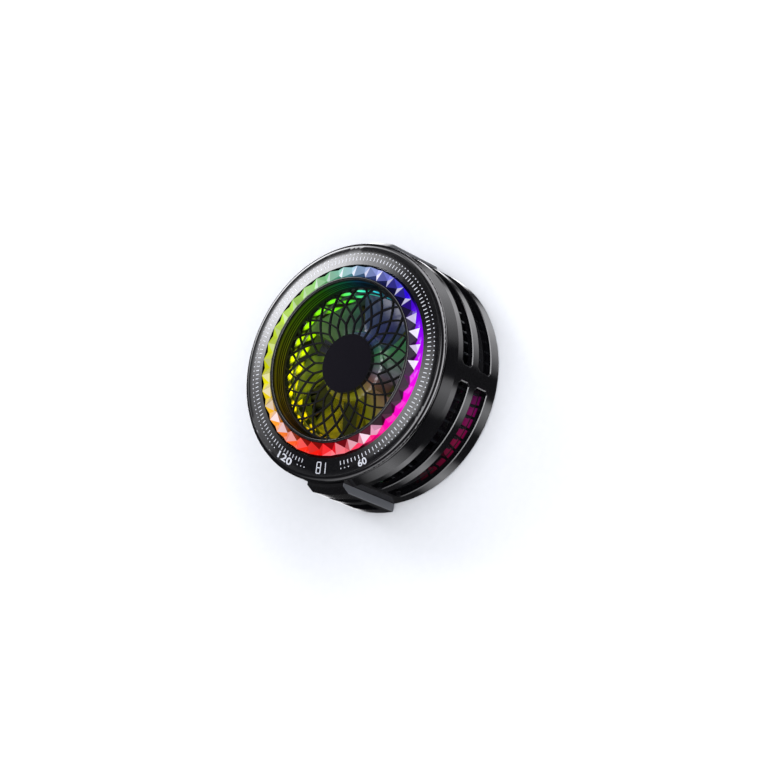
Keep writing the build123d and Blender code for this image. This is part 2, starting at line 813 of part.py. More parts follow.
# Charging port: drawn shell, closed behind, with a moulded block and tongue inside
port_rear = port_mouth - port_length
with BuildPart() as usb_c_shell:
    with BuildSketch(Plane.XZ.offset(port_rear)):
        with Locations((0, port_middle)):
            SlotOverall(port_width, port_height)
    extrude(amount=port_length)
    with BuildSketch(Plane.XZ.offset(port_rear + port_wall)):
        with Locations((0, port_middle)):
            SlotOverall(port_width - 2 * port_wall, port_height - 2 * port_wall)
    extrude(amount=port_length, mode=Mode.SUBTRACT)
finish(usb_c_shell, "usb_c_shell")

block_inset = port_wall + glue_gap
with BuildPart() as usb_c_tongue:
    with BuildSketch(Plane.XZ.offset(port_rear + block_inset)):
        with Locations((0, port_middle)):
            SlotOverall(port_width - 2 * block_inset, port_height - 2 * block_inset)
    extrude(amount=port_block_length)
    with BuildSketch(Plane.XZ.offset(port_rear + block_inset)):
        with Locations((0, port_middle)):
            Rectangle(tongue_width, tongue_thickness)
    extrude(amount=port_block_length + tongue_length - port_wall)
finish(usb_c_tongue, "usb_c_tongue")

# Flat cables: under a strut to the motor board, and up through the shelf to the front board
ribbon_exit = ribbon_start + ribbon_thickness
with BuildPart() as fan_ribbon:
    add(box(ribbon_width, ribbon_start, ribbon_reach, main_board_top, ribbon_thickness))
    add(box(ribbon_width, ribbon_start, ribbon_exit, main_board_top, base_top - main_board_top))
finish(fan_ribbon, "fan_ribbon")

with BuildPart() as front_ribbon:
    with BuildSketch(Plane.XY.offset(main_board_top)):
        with Locations((chip_offset, -front_ribbon_distance)):
            Rectangle(ribbon_width, ribbon_thickness)
    extrude(amount=carrier_floor_top - main_board_top)
finish(front_ribbon, "front_ribbon")

# Fan frame: duct with a flange, struts, motor base and bearing tube
with BuildPart() as fan_frame:
    extrude(disc(duct_outer, duct_bottom, duct_radius), amount=fan_flange_top - duct_bottom)
    extrude(disc(fan_flange_radius, shelf_top, duct_radius), amount=fan_flange_thickness)
    extrude(disc(motor_base_radius, duct_bottom), amount=motor_base_thickness)
    with BuildSketch(Plane.XY.offset(duct_bottom)):
        with PolarLocations((motor_base_radius + duct_outer) / 2 - slip_gap, strut_count):
            Rectangle(duct_outer - motor_base_radius, strut_width)
    extrude(amount=motor_base_thickness)
    extrude(disc(tube_radius, duct_bottom), amount=sleeve_top - duct_bottom)
    extrude(disc(sleeve_radius, thrust_bottom), amount=sleeve_top, mode=Mode.SUBTRACT)
    with BuildSketch(Plane.XY.offset(shelf_top)):
        with PolarLocations(fan_screw_distance, fan_screw_count, start_angle=screw_angle):
            Circle(fan_screw_radius + screw_clearance)
    extrude(amount=fan_flange_thickness, mode=Mode.SUBTRACT)
    ribbon_slot = box(
        ribbon_width + 2 * slip_gap,
        ribbon_start - slip_gap,
        ribbon_exit + slip_gap,
        duct_bottom,
        motor_base_thickness,
    )
    add(ribbon_slot, mode=Mode.SUBTRACT)
finish(fan_frame, "fan_frame")

# Motor: board, core with four poles, windings, thrust pad and sintered sleeve
with BuildPart() as motor_board:
    extrude(disc(motor_board_radius, base_top, tube_radius + slip_gap), amount=board_thickness)
finish(motor_board, "motor_board")

with BuildPart() as stator_core:
    extrude(disc(coil_inner - slip_gap, stator_start, tube_radius + glue_gap), amount=stator_height)
    shoe_inner = stator_radius - pole_shoe
    pole_start = coil_inner - 2 * slip_gap
    shoe_spread = 360 / pole_count - degrees(pole_gap_width / stator_radius)
    with BuildSketch(Plane.XY.offset(stator_start)):
        with PolarLocations((pole_start + shoe_inner + slip_gap) / 2, pole_count, start_angle=boss_angle):
            Rectangle(shoe_inner + slip_gap - pole_start, pole_width)
    extrude(amount=stator_height)
    for pole in range(pole_count):
        turn = boss_angle + pole * 360 / pole_count
        shoe = sector(stator_radius, shoe_inner, stator_start, turn, shoe_spread)
        extrude(shoe, amount=stator_height)
finish(stator_core, "stator_core")

with BuildPart() as stator_coils:
    with BuildPart(mode=Mode.PRIVATE) as winding:
        with BuildSketch(Plane.YZ.offset(coil_inner)):
            with Locations((0, stator_middle)):
                RectangleRounded(coil_width, coil_height, coil_corner)
                Rectangle(pole_width + 2 * glue_gap, stator_height + 2 * glue_gap, mode=Mode.SUBTRACT)
        extrude(amount=coil_outer - coil_inner)
    with PolarLocations(0, pole_count, start_angle=boss_angle):
        add(winding.part)
finish(stator_coils, "stator_coils")

with BuildPart() as thrust_pad:
    extrude(disc(sleeve_radius - glue_gap, thrust_bottom), amount=thrust_thickness)
finish(thrust_pad, "thrust_pad")

with BuildPart() as bearing_sleeve:
    extrude(disc(sleeve_radius, sleeve_start, shaft_radius + running_gap), amount=sleeve_length)
finish(bearing_sleeve, "bearing_sleeve")

# Rotor: shaft with its clip, ring magnet, steel yoke, hub and blades
clip_bottom = thrust_top + clip_height
groove_radius = shaft_radius - clip_groove
with BuildPart() as rotor_shaft:
    extrude(disc(shaft_radius, thrust_top), amount=shaft_top - thrust_top)
    extrude(disc(shaft_radius, clip_bottom, groove_radius), amount=clip_thickness, mode=Mode.SUBTRACT)
finish(rotor_shaft, "rotor_shaft")

with BuildPart() as shaft_clip:
    extrude(disc(clip_radius, clip_bottom, groove_radius), amount=clip_thickness)
finish(shaft_clip, "shaft_clip")

with BuildPart() as rotor_magnet:
    ring = disc(rotor_magnet_outer, rotor_bottom, rotor_magnet_inner)
    extrude(ring, amount=magnet_ring_height)
finish(rotor_magnet, "rotor_magnet")

with BuildPart() as rotor_yoke:
    boss_hole = hub_boss_radius + glue_gap
    revolve(
        outline(
            [
                (yoke_outer, rotor_bottom),
                (yoke_outer, yoke_plate_top),
                (boss_hole, yoke_plate_top),
                (boss_hole, yoke_plate_bottom),
                (yoke_inner, yoke_plate_bottom),
                (yoke_inner, rotor_bottom),
            ]
        ),
        axis=Axis.Z,
    )
finish(rotor_yoke, "rotor_yoke")

blade_middle = (rotor_bottom + hub_top) / 2
blade_root = hub_inner + glue_gap
with BuildPart() as impeller:
    revolve(
        outline(
            [
                (hub_outer, rotor_bottom),
                (hub_outer, hub_top - hub_edge),
                (hub_outer - hub_edge, hub_top),
                (0, hub_top),
                (0, shaft_top),
                (shaft_radius, shaft_top),
                (shaft_radius, yoke_plate_bottom),
                (hub_boss_radius, yoke_plate_bottom),
                (hub_boss_radius, hub_plate_bottom),
                (hub_inner, hub_plate_bottom),
                (hub_inner, rotor_bottom),
            ]
        ),
        axis=Axis.Z,
    )
    root = Plane(origin=(blade_root, 0, blade_middle), x_dir=(0, 1, 0), z_dir=(1, 0, 0))
    lean = radians(blade_sweep)
    tip_origin = (duct_radius * cos(lean), duct_radius * sin(lean), blade_middle)
    tip = Plane(origin=tip_origin, x_dir=(-sin(lean), cos(lean), 0), z_dir=(cos(lean), sin(lean), 0))
    with BuildPart(mode=Mode.PRIVATE) as blade:
        with BuildSketch(root):
            Rectangle(blade_root_chord, blade_thickness, rotation=blade_root_angle)
        with BuildSketch(tip):
            Rectangle(blade_tip_chord, blade_thickness, rotation=blade_tip_angle)
        loft(ruled=True)
        extrude(disc(blade_tip_radius, 0, hub_inner), amount=trim_top, mode=Mode.INTERSECT)
    with PolarLocations(0, blade_count):
        add(blade.part)
finish(impeller, "impeller")

# Carrier that stands on the shelf, and the clear guide above the fan's duct
with BuildPart() as light_carrier:
    revolve(
        outline(
            [
                (carrier_inner, carrier_floor_top - carrier_floor),
                (carrier_wall_radius - carrier_wall, carrier_floor_top - carrier_floor),
                (carrier_wall_radius - carrier_wall, shelf_top),
                (carrier_wall_radius, shelf_top),
                (carrier_wall_radius, carrier_floor_top),
                (rim_outer, carrier_floor_top),
                (rim_outer, carrier_rim_top),
                (rim_inner, carrier_rim_top),
                (rim_inner, carrier_floor_top),
                (carrier_inner, carrier_floor_top),
            ]
        ),
        axis=Axis.Z,
    )
    rim_spread = display_angle + display_margin_angle
    rim_gap = sector(rim_outer + slip_gap, light_board_outer, carrier_floor_top, port_angle, rim_spread)
    extrude(rim_gap, amount=carrier_rim_top, mode=Mode.SUBTRACT)
finish(light_carrier, "light_carrier")

with BuildPart() as light_guide:
    ring = disc(duct_radius + guide_wall, fan_flange_top, duct_radius)
    extrude(ring, amount=carrier_floor_top - fan_flange_top)
finish(light_guide, "light_guide")

# Front board: a ring for the lights with a tab for the display
with BuildPart() as front_board:
    extrude(disc(light_board_outer, carrier_floor_top, light_board_inner), amount=board_thickness)
    tab = sector(display_board_outer, light_place_radius, carrier_floor_top, port_angle, display_angle)
    extrude(tab, amount=board_thickness)
finish(front_board, "front_board")

with BuildPart() as rgb_lights:
    with BuildSketch(Plane.XY.offset(light_board_top)):
        with PolarLocations(light_place_radius, light_count):
            Rectangle(light_side, light_side)
    extrude(amount=light_height)
finish(rgb_lights, "rgb_lights")

with BuildPart() as display_digits:
    with BuildSketch(Plane.XY.offset(light_board_top)):
        with Locations((0, -digit_radius)):
            Rectangle(digit_width, digit_depth)
    extrude(amount=digit_height)
finish(display_digits, "display_digits")

# Crystal ring, sloped outwards, with a foot between the carrier's rim and the bezel
with BuildPart() as crystal_ring:
    flange_top = bezel_inner_bottom - glue_gap
    revolve(
        outline(
            [
                (crystal_inner, crystal_bottom),
                (crystal_inner, crystal_inner_top),
                (crystal_outer, crystal_outer_top),
                (crystal_outer, flange_top),
                (crystal_outer + crystal_flange, flange_top),
                (crystal_outer + crystal_flange, carrier_rim_top),
                (crystal_outer - crystal_foot, carrier_rim_top),
                (crystal_outer - crystal_foot, crystal_bottom),
            ]
        ),
        axis=Axis.Z,
    )
finish(crystal_ring, "crystal_ring")

with BuildPart() as trim_ring:
    lip_bottom = cone_top + glue_gap
    revolve(
        outline(
            [
                (trim_inner, lip_bottom),
                (trim_inner, trim_top),
                (trim_outer, trim_top),
                (trim_outer, carrier_floor_top),
                (trim_bore, carrier_floor_top),
                (trim_bore, lip_bottom),
            ]
        ),
        axis=Axis.Z,
    )
    fillet(trim_ring.faces().sort_by(Axis.Z)[-1].edges(), trim_edge)
finish(trim_ring, "trim_ring")

# Mirror cone, stepped like its turned grooves
with BuildPart() as reflector_cone:
    rise = (cone_top - grille_top) / cone_steps
    spread = (cone_top_radius - cone_bottom_radius) / cone_steps
    steps = []
    for step in range(cone_steps):
        steps.append((cone_bottom_radius + step * spread, grille_top + step * rise))
        steps.append((cone_bottom_radius + step * spread, grille_top + (step + 1) * rise))
    back = [
        (cone_top_radius + cone_wall, cone_top),
        (cone_bottom_radius + cone_wall, grille_top + cone_flange),
        (grille_ring_outer, grille_top + cone_flange),
        (grille_ring_outer, grille_top),
    ]
    revolve(outline(steps + back), axis=Axis.Z)
finish(reflector_cone, "reflector_cone")

# Intake grille: short spokes from the hub, each parting into two crossing curved ribs, all
# shallower than the hub and the ring that they join
left_rib = curved_rib(grille_rib_sweep)
right_rib = curved_rib(-grille_rib_sweep)
with BuildPart() as intake_grille:
    with BuildSketch(Plane.XY.offset(grille_top)) as web:
        Circle(grille_hub_radius)
        with PolarLocations((grille_hub_radius + grille_node_radius) / 2, grille_rib_count):
            Rectangle(grille_node_radius - grille_hub_radius + grille_rib_width, grille_rib_width)
        with PolarLocations(0, grille_rib_count):
            add(left_rib)
            add(right_rib)
    extrude(amount=-grille_rib_depth)
    extrude(disc(grille_hub_radius, carrier_floor_top), amount=grille_thickness)
    extrude(disc(grille_ring_outer, carrier_floor_top, grille_ring_inner), amount=grille_thickness)
    badge_seat = disc(badge_radius + glue_gap, grille_top)
    extrude(badge_seat, amount=-badge_thickness, mode=Mode.SUBTRACT)
finish(intake_grille, "intake_grille")

with BuildPart() as hub_badge:
    extrude(disc(badge_radius, grille_top), amount=-badge_thickness)
finish(hub_badge, "hub_badge")

# Bezel: domed face, snap skirt, and a pocket under its lower edge for the display
with BuildPart() as bezel:
    with BuildSketch(Plane.XZ):
        with BuildLine():
            Line((bezel_inner_radius, bezel_inner_top), (bezel_face_radius, bezel_face_top))
            ThreePointArc(
                (bezel_face_radius, bezel_face_top),
                (bezel_shoulder_radius, bezel_shoulder_top),
                (bezel_radius, bezel_rim_height),
            )
            Polyline(
                (bezel_radius, bezel_rim_height),
                (bezel_under_radius, bezel_under),
                (skirt_radius, bezel_under),
                (skirt_radius, snap_top),
                (skirt_radius + snap_depth, snap_top),
                (skirt_radius, skirt_bottom),
                (skirt_inner, skirt_bottom),
                (skirt_inner, bezel_inner_bottom),
                (bezel_inner_radius, bezel_inner_bottom),
                (bezel_inner_radius, bezel_inner_top),
            )
        make_face()
    revolve(axis=Axis.Z)
    gap_angle = display_angle + 2 * display_margin_angle
    pocket = sector(neck_radius - 2 * slip_gap, skirt_inner - overrun, skirt_bottom, port_angle, gap_angle)
    extrude(pocket, amount=bezel_under - skirt_bottom, mode=Mode.SUBTRACT)
    pocket = sector(skirt_radius, skirt_inner - overrun, bezel_under, port_angle, gap_angle)
    extrude(pocket, amount=bezel_inner_bottom - bezel_under, mode=Mode.SUBTRACT)
finish(bezel, "bezel")

# Fasteners, one group for each size
with BuildPart() as cover_screws:
    cover_screw = screw(screw_radius, cover_screw_length, head_radius, head_height, True)
    with Locations(Plane.XY.offset(pad_thickness + head_height + screw_clearance)):
        with PolarLocations(boss_place_radius, magnet_groups, start_angle=boss_angle):
            add(cover_screw)
finish(cover_screws, "cover_screws")

with BuildPart() as sink_screws:
    sink_screw_length = sink_top - pad_thickness - slip_gap
    sink_screw = screw(screw_radius, sink_screw_length, head_radius, head_height, False)
    with Locations(Plane.XY.offset(sink_top)):
        with PolarLocations(sink_screw_distance, sink_screw_count, start_angle=screw_angle):
            add(sink_screw)
finish(sink_screws, "sink_screws")

with BuildPart() as fan_screws:
    fan_screw_length = fan_flange_top - shelf_bottom - slip_gap
    fan_screw = screw(fan_screw_radius, fan_screw_length, fan_head_radius, fan_head_height, False)
    with Locations(Plane.XY.offset(fan_flange_top)):
        with PolarLocations(fan_screw_distance, fan_screw_count, start_angle=screw_angle):
            add(fan_screw)
finish(fan_screws, "fan_screws")
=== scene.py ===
from math import atan2, cos, degrees, pi, radians, sin

import bmesh
import bpy
from mathutils import Matrix, Vector


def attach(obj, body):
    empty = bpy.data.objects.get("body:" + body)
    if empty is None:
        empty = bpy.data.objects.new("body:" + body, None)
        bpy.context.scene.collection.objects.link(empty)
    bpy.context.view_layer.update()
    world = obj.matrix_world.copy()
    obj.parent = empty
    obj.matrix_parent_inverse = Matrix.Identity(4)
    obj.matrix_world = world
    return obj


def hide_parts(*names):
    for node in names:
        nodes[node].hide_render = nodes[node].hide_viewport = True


# Round magnetic phone cooler: gloss black case, lit crystal ring, spiral grille. Metres.
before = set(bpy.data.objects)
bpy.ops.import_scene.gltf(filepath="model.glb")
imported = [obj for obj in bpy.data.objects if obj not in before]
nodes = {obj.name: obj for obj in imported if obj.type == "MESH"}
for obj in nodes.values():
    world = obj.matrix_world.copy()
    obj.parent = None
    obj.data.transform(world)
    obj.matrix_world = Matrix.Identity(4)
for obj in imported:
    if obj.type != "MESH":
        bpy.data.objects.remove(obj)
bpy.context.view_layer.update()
mm = 0.001

# Shared sizes in millimetres, as in the solids
bezel_inner_radius, bezel_inner_top = 23.6, 23.05
bezel_face_radius, bezel_face_top = 27.6, 22.5
crystal_outer_radius = 23.45
crystal_inner_radius, crystal_inner_top = 20.35, 24.1
crystal_bottom = 21.5
duct_radius = 18.2
case_radius = 29.2
heat_sink_fins = 60
inlay_thickness = 0.06


# ---------------------------------------------------------------- helpers
def linear(code):
    """An sRGB hex colour as linear RGBA."""
    shares = [int(code[i : i + 2], 16) / 255 for i in (1, 3, 5)]
    return [v / 12.92 if v <= 0.04045 else ((v + 0.055) / 1.055) ** 2.4 for v in shares] + [1.0]


def add_node(tree, kind, inputs=None, **settings):
    """Adds a node, sets its settings, and fills or links its inputs."""
    node = tree.nodes.new(kind)
    for key, value in settings.items():
        setattr(node, key, value)
    for key, value in (inputs or {}).items():
        if isinstance(value, bpy.types.NodeSocket):
            tree.links.new(value, node.inputs[key])
        else:
            node.inputs[key].default_value = value
    return node


def new_finish(name, **sockets):
    """A material with one shader whose even values sit on its own sockets."""
    material = bpy.data.materials.new(name)
    material.use_nodes = True
    tree = material.node_tree
    tree.nodes.clear()
    shader = add_node(tree, "ShaderNodeBsdfPrincipled")
    for key, value in sockets.items():
        shader.inputs[key.replace("_", " ")].default_value = value
    add_node(tree, "ShaderNodeOutputMaterial", {"Surface": shader.outputs["BSDF"]})
    place = add_node(tree, "ShaderNodeTexCoord").outputs["Object"]
    return material, tree, shader, place


def per_mm(size):
    """A texture scale whose grain is about the given size in millimetres."""
    return 1 / (size * mm)


def mottled(name, dark, light, roughness, grain, bump=0.1, metallic=0.0, spread=0.06, **sockets):
    """A finish with a fine grain in its colour, roughness and relief."""
    material, tree, shader, place = new_finish(name, Metallic=metallic, **sockets)
    noise = add_node(
        tree, "ShaderNodeTexNoise", {"Vector": place, "Scale": per_mm(grain), "Detail": 4.0}
    ).outputs["Fac"]
    tint = add_node(
        tree,
        "ShaderNodeMix",
        {0: noise, 6: linear(dark), 7: linear(light)},
        data_type="RGBA",
    ).outputs[2]
    tree.links.new(tint, shader.inputs["Base Color"])
    rough = add_node(
        tree,
        "ShaderNodeMapRange",
        {"Value": noise, "To Min": max(roughness - spread, 0.02), "To Max": roughness + spread},
    ).outputs["Result"]
    tree.links.new(rough, shader.inputs["Roughness"])
    relief = add_node(
        tree, "ShaderNodeBump", {"Height": noise, "Strength": bump, "Distance": 0.02 * mm}
    ).outputs["Normal"]
    tree.links.new(relief, shader.inputs["Normal"])
    return material


def angle_of(tree, place):
    """Turns object coordinates into a share of a turn, 0 at the left side, rising anticlockwise."""
    parts = add_node(tree, "ShaderNodeSeparateXYZ", {"Vector": place})
    turn = add_node(
        tree, "ShaderNodeMath", {0: parts.outputs["Y"], 1: parts.outputs["X"]}, operation="ARCTAN2"
    ).outputs[0]
    return add_node(
        tree,
        "ShaderNodeMapRange",
        {"Value": turn, "From Min": -pi, "From Max": pi},
    ).outputs["Result"]


def distance_from_axis(tree, place):
    """How far a place lies from the fan's axis, in metres."""
    level = add_node(
        tree, "ShaderNodeVectorMath", {0: place, 1: (1, 1, 0)}, operation="MULTIPLY"
    ).outputs[0]
    return add_node(
        tree, "ShaderNodeVectorMath", {0: level}, operation="LENGTH"
    ).outputs["Value"]


def rainbow(tree, share, stops):
    """A colour ramp round the ring: stops are (degrees from +X, hex)."""
    ramp = add_node(tree, "ShaderNodeValToRGB", {"Fac": share})
    band = ramp.color_ramp
    for spot, code in stops:
        entry = band.elements.new((spot + 180) / 360)
        entry.color = linear(code)
    band.elements.remove(band.elements[0])
    band.elements.remove(band.elements[-1])
    return ramp.outputs["Color"]


def finished_piece(bm, name, material, body="base", smooth=False):
    """Turns a bmesh in millimetres into a piece that rides on a body."""
    bmesh.ops.remove_doubles(bm, verts=bm.verts, dist=1e-4)
    bmesh.ops.scale(bm, vec=(mm, mm, mm), verts=bm.verts)
    mesh = bpy.data.meshes.new(name)
    bm.to_mesh(mesh)
    bm.free()
    piece = bpy.data.objects.new(name, mesh)
    bpy.context.scene.collection.objects.link(piece)
    mesh.materials.append(material)
    for face in mesh.polygons:
        face.use_smooth = smooth
    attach(piece, body)
    return piece


def around_axis(bm, count):
    """Repeats one module round the fan's axis and joins the copies to a ring."""
    bmesh.ops.spin(
        bm,
        geom=bm.verts[:] + bm.edges[:] + bm.faces[:],
        axis=(0, 0, 1),
        angle=2 * pi - 2 * pi / count,
        steps=count - 1,
        use_duplicate=True,
    )
    bmesh.ops.remove_doubles(bm, verts=bm.verts, dist=1e-3)


def extruded_rims(bm, edges):
    """Extrudes open edges in place and gives the new points."""
    grown = bmesh.ops.extrude_edge_only(bm, edges=edges)["geom"]
    return [item for item in grown if isinstance(item, bmesh.types.BMVert)]


def open_edges(bm):
    """Edges that only one face uses."""
    return [edge for edge in bm.edges if edge.is_boundary]


def close_back(bm, back_radius):
    """Gives a ring of lenses its rims and a plain back at a radius."""
    for vert in extruded_rims(bm, open_edges(bm)):
        flat = Vector((vert.co.x, vert.co.y, 0)).normalized() * back_radius
        vert.co = (flat.x, flat.y, vert.co.z)
    bmesh.ops.bridge_loops(bm, edges=open_edges(bm))
    bmesh.ops.recalc_face_normals(bm, faces=bm.faces)


def dress(names, material):
    """Gives CAD nodes a finish."""
    for name in names:
        mesh = nodes[name].data
        mesh.materials.clear()
        mesh.materials.append(material)


# ---------------------------------------------------------------- finishes
glow_stops = [
    (-179.9, "#C8D400"),
    (-165, "#E6DC00"),
    (-150, "#F2C400"),
    (-138, "#FF9A10"),
    (-122, "#FF6A00"),
    (-108, "#FF2A00"),
    (-88, "#FF0008"),
    (-70, "#FF0030"),
    (-55, "#FF0078"),
    (-38, "#FF00B4"),
    (-15, "#F000E0"),
    (5, "#B400F0"),
    (25, "#6E00F0"),
    (45, "#2A00E0"),
    (60, "#2C2CE0"),
    (75, "#5A78E8"),
    (90, "#58A8D8"),
    (100, "#48C8B0"),
    (114, "#60C870"),
    (128, "#90D848"),
    (145, "#B0E428"),
    (165, "#C8E414"),
    (179.9, "#C8D400"),
]

# Piano black ABS, moulded in a polished tool: mirror clear, deep black, hardly any haze
piano_black = mottled(
    "piano_black_abs",
    "#030304",
    "#050507",
    roughness=0.14,
    grain=1.2,
    bump=0.02,
    spread=0.03,
    IOR=1.5,
    Coat_Weight=0.3,
    Coat_Roughness=0.05,
)

# Polished black ABS of the case: a touch softer, so that lights spread along it
case_black = mottled(
    "moulded_black_abs",
    "#050506",
    "#08080A",
    roughness=0.12,
    grain=0.6,
    bump=0.03,
    spread=0.03,
    IOR=1.5,
)


def satin_flanks(material, across, outwards):
    """Blasted flanks of both lugs, past two distances: a satin grey that spreads the light."""
    tree = material.node_tree
    shader = tree.nodes["Principled BSDF"]
    place = add_node(tree, "ShaderNodeTexCoord").outputs["Object"]
    parts = add_node(tree, "ShaderNodeSeparateXYZ", {"Vector": place})
    flank = 1.0
    for axis, least in (("X", across), ("Y", outwards)):
        distance = add_node(
            tree, "ShaderNodeMath", {0: parts.outputs[axis]}, operation="ABSOLUTE"
        ).outputs[0]
        beyond = add_node(
            tree, "ShaderNodeMath", {0: distance, 1: least * mm}, operation="GREATER_THAN"
        ).outputs[0]
        flank = add_node(
            tree, "ShaderNodeMath", {0: flank, 1: beyond}, operation="MULTIPLY"
        ).outputs[0]
    polished = shader.inputs["Base Color"].links[0].from_socket
    colour = add_node(
        tree,
        "ShaderNodeMix",
        {0: flank, 6: polished, 7: linear("#3A3C40")},
        data_type="RGBA",
    ).outputs[2]
    tree.links.new(colour, shader.inputs["Base Color"])
    gloss = shader.inputs["Roughness"].links[0].from_socket
    rough = add_node(tree, "ShaderNodeMix", {0: flank, 2: gloss, 3: 0.5}).outputs[0]
    tree.links.new(rough, shader.inputs["Roughness"])


satin_flanks(case_black, across=5.3, outwards=28.8)

# Moulded black ABS of the grille: a thin sheen along each rib
grille_black = mottled(
    "satin_black_abs",
    "#050506",
    "#08080A",
    roughness=0.12,
    grain=0.3,
    bump=0.05,
    spread=0.03,
    IOR=1.45,
)

# Dark printed film on the hub: almost navy, with little shine
badge_film = mottled(
    "matt_printed_film",
    "#060509",
    "#0A090E",
    roughness=0.1,
    grain=0.25,
    bump=0.04,
    spread=0.02,
    IOR=1.45,
    Specular_IOR_Level=0.3,
)


def painted_ring_glow(material, inner, outer, low, top):
    """A painted glow: the ring's magenta light, where it falls on a finish inside one side of the
    case.
    """
    tree = material.node_tree
    shader = tree.nodes["Principled BSDF"]
    place = add_node(tree, "ShaderNodeTexCoord").outputs["Object"]
    turn = angle_of(tree, place)
    glow = rainbow(
        tree,
        turn,
        [
            (-179.9, "#000000"),
            (-62, "#000000"),
            (-50, "#380010"),
            (-32, "#68002E"),
            (-14, "#640048"),
            (-7, "#480038"),
            (-4, "#000000"),
            (179.9, "#000000"),
        ],
    )
    height = add_node(tree, "ShaderNodeSeparateXYZ", {"Vector": place}).outputs["Z"]
    reach = distance_from_axis(tree, place)
    # Painted shadow: each fin throws one dark line across the glow
    share, painted_shadow_part = turn, 0.24
    for operation, number in (
        ("MULTIPLY", float(heat_sink_fins)),
        ("FRACT", 0.0),
        ("GREATER_THAN", painted_shadow_part),
    ):
        share = add_node(
            tree, "ShaderNodeMath", {0: share, 1: number}, operation=operation
        ).outputs[0]
    # The glow fades at its inner and outer radius and at its lower and upper height
    for value, first, full in (
        (reach, inner - 0.5, inner),
        (reach, outer, outer - 0.15),
        (height, low - 0.05, low),
        (height, top, top - 0.8),
    ):
        step = add_node(
            tree,
            "ShaderNodeMapRange",
            {"Value": value, "From Min": first * mm, "From Max": full * mm},
        ).outputs["Result"]
        share = add_node(
            tree, "ShaderNodeMath", {0: share, 1: step}, operation="MULTIPLY"
        ).outputs[0]
    glow = add_node(
        tree, "ShaderNodeMix", {0: share, 6: linear("#000000"), 7: glow}, data_type="RGBA"
    ).outputs[2]
    tree.links.new(glow, shader.inputs["Emission Color"])
    shader.inputs["Emission Strength"].default_value = 1.0
    return tree, shader, reach, glow


# Dark anodised aluminium fins: dull metal with fine saw lines, with a little of the ring's light
# painted on
anodised = mottled(
    "dark_anodised_aluminium",
    "#1C1E22",
    "#34373D",
    roughness=0.38,
    grain=0.15,
    bump=0.15,
    metallic=0.8,
)
tree, shader, reach, glow = painted_ring_glow(anodised, inner=25.0, outer=26.75, low=4.0, top=8.2)
# Under the blades the base takes a painted dim olive light from above
core = add_node(
    tree,
    "ShaderNodeMapRange",
    {"Value": reach, "From Min": 19.0 * mm, "From Max": 17.5 * mm},
).outputs["Result"]
glow = add_node(
    tree, "ShaderNodeMix", {0: core, 6: glow, 7: linear("#2A2C10")}, data_type="RGBA"
).outputs[2]
tree.links.new(glow, shader.inputs["Emission Color"])

# Phosphated steel of the magnet ring: nearly black, dull
phosphated = mottled(
    "phosphated_steel", "#1A1A1C", "#262629", roughness=0.5, grain=0.2, bump=0.1, metallic=0.6
)
painted_ring_glow(phosphated, inner=25.0, outer=26.7, low=3.2, top=5.0)
painted_ring_glow(case_black, inner=27.0, outer=27.8, low=3.3, top=5.0)

# White print and inlay on the bezel: crisp, with a faint painted glow
material, tree, shader, place = new_finish("white_dial_print", Roughness=0.35)
speckle = add_node(
    tree, "ShaderNodeTexNoise", {"Vector": place, "Scale": per_mm(0.2), "Detail": 2.0}
).outputs["Fac"]
tone = add_node(
    tree,
    "ShaderNodeMix",
    {0: speckle, 6: linear("#76787E"), 7: linear("#92949A")},
    data_type="RGBA",
).outputs[2]
tree.links.new(tone, shader.inputs["Base Color"])
tree.links.new(tone, shader.inputs["Emission Color"])
# A faint painted glow on the print
shader.inputs["Emission Strength"].default_value = 0.35
dial_print = material

# Cut crystal over coloured lights: hard facets, full of colour, with painted white highlights or
# painted dark
material, tree, shader, place = new_finish(
    "lit_cut_crystal", Roughness=0.06, IOR=1.5, Specular_IOR_Level=0.06
)
ring_colour = rainbow(tree, angle_of(tree, place), glow_stops)
painted_glint_share = add_node(tree, "ShaderNodeAttribute", attribute_name="painted_glint").outputs["Fac"]
shining = add_node(tree, "ShaderNodeAttribute", attribute_name="glow").outputs["Fac"]
facet_colour = add_node(
    tree, "ShaderNodeMix", {0: painted_glint_share, 6: ring_colour, 7: linear("#F4F0FF")}, data_type="RGBA"
).outputs[2]
# Painted light: on one side the outer half of every facet is full of light
outer_glow = rainbow(
    tree,
    angle_of(tree, place),
    [
        (-179.9, "#000000"),
        (-62, "#000000"),
        (-46, "#FFFFFF"),
        (26, "#FFFFFF"),
        (40, "#000000"),
        (179.9, "#000000"),
    ],
)
outer_half = add_node(
    tree,
    "ShaderNodeMapRange",
    {"Value": distance_from_axis(tree, place), "From Min": 21.75 * mm, "From Max": 22.05 * mm},
).outputs["Result"]
outer_glow = add_node(
    tree, "ShaderNodeMath", {0: outer_glow, 1: outer_half}, operation="MULTIPLY"
).outputs[0]
shining = add_node(
    tree, "ShaderNodeMath", {0: shining, 1: outer_glow}, operation="MAXIMUM"
).outputs[0]
facet_light = add_node(
    tree, "ShaderNodeMix", {0: shining, 6: linear("#000000"), 7: facet_colour}, data_type="RGBA"
).outputs[2]
facet_body = add_node(
    tree, "ShaderNodeMix", {0: 0.04, 6: linear("#050506"), 7: facet_light}, data_type="RGBA"
).outputs[2]
tree.links.new(facet_body, shader.inputs["Base Color"])
tree.links.new(facet_light, shader.inputs["Emission Color"])
shader.inputs["Emission Strength"].default_value = 1.0
lit_crystal = material
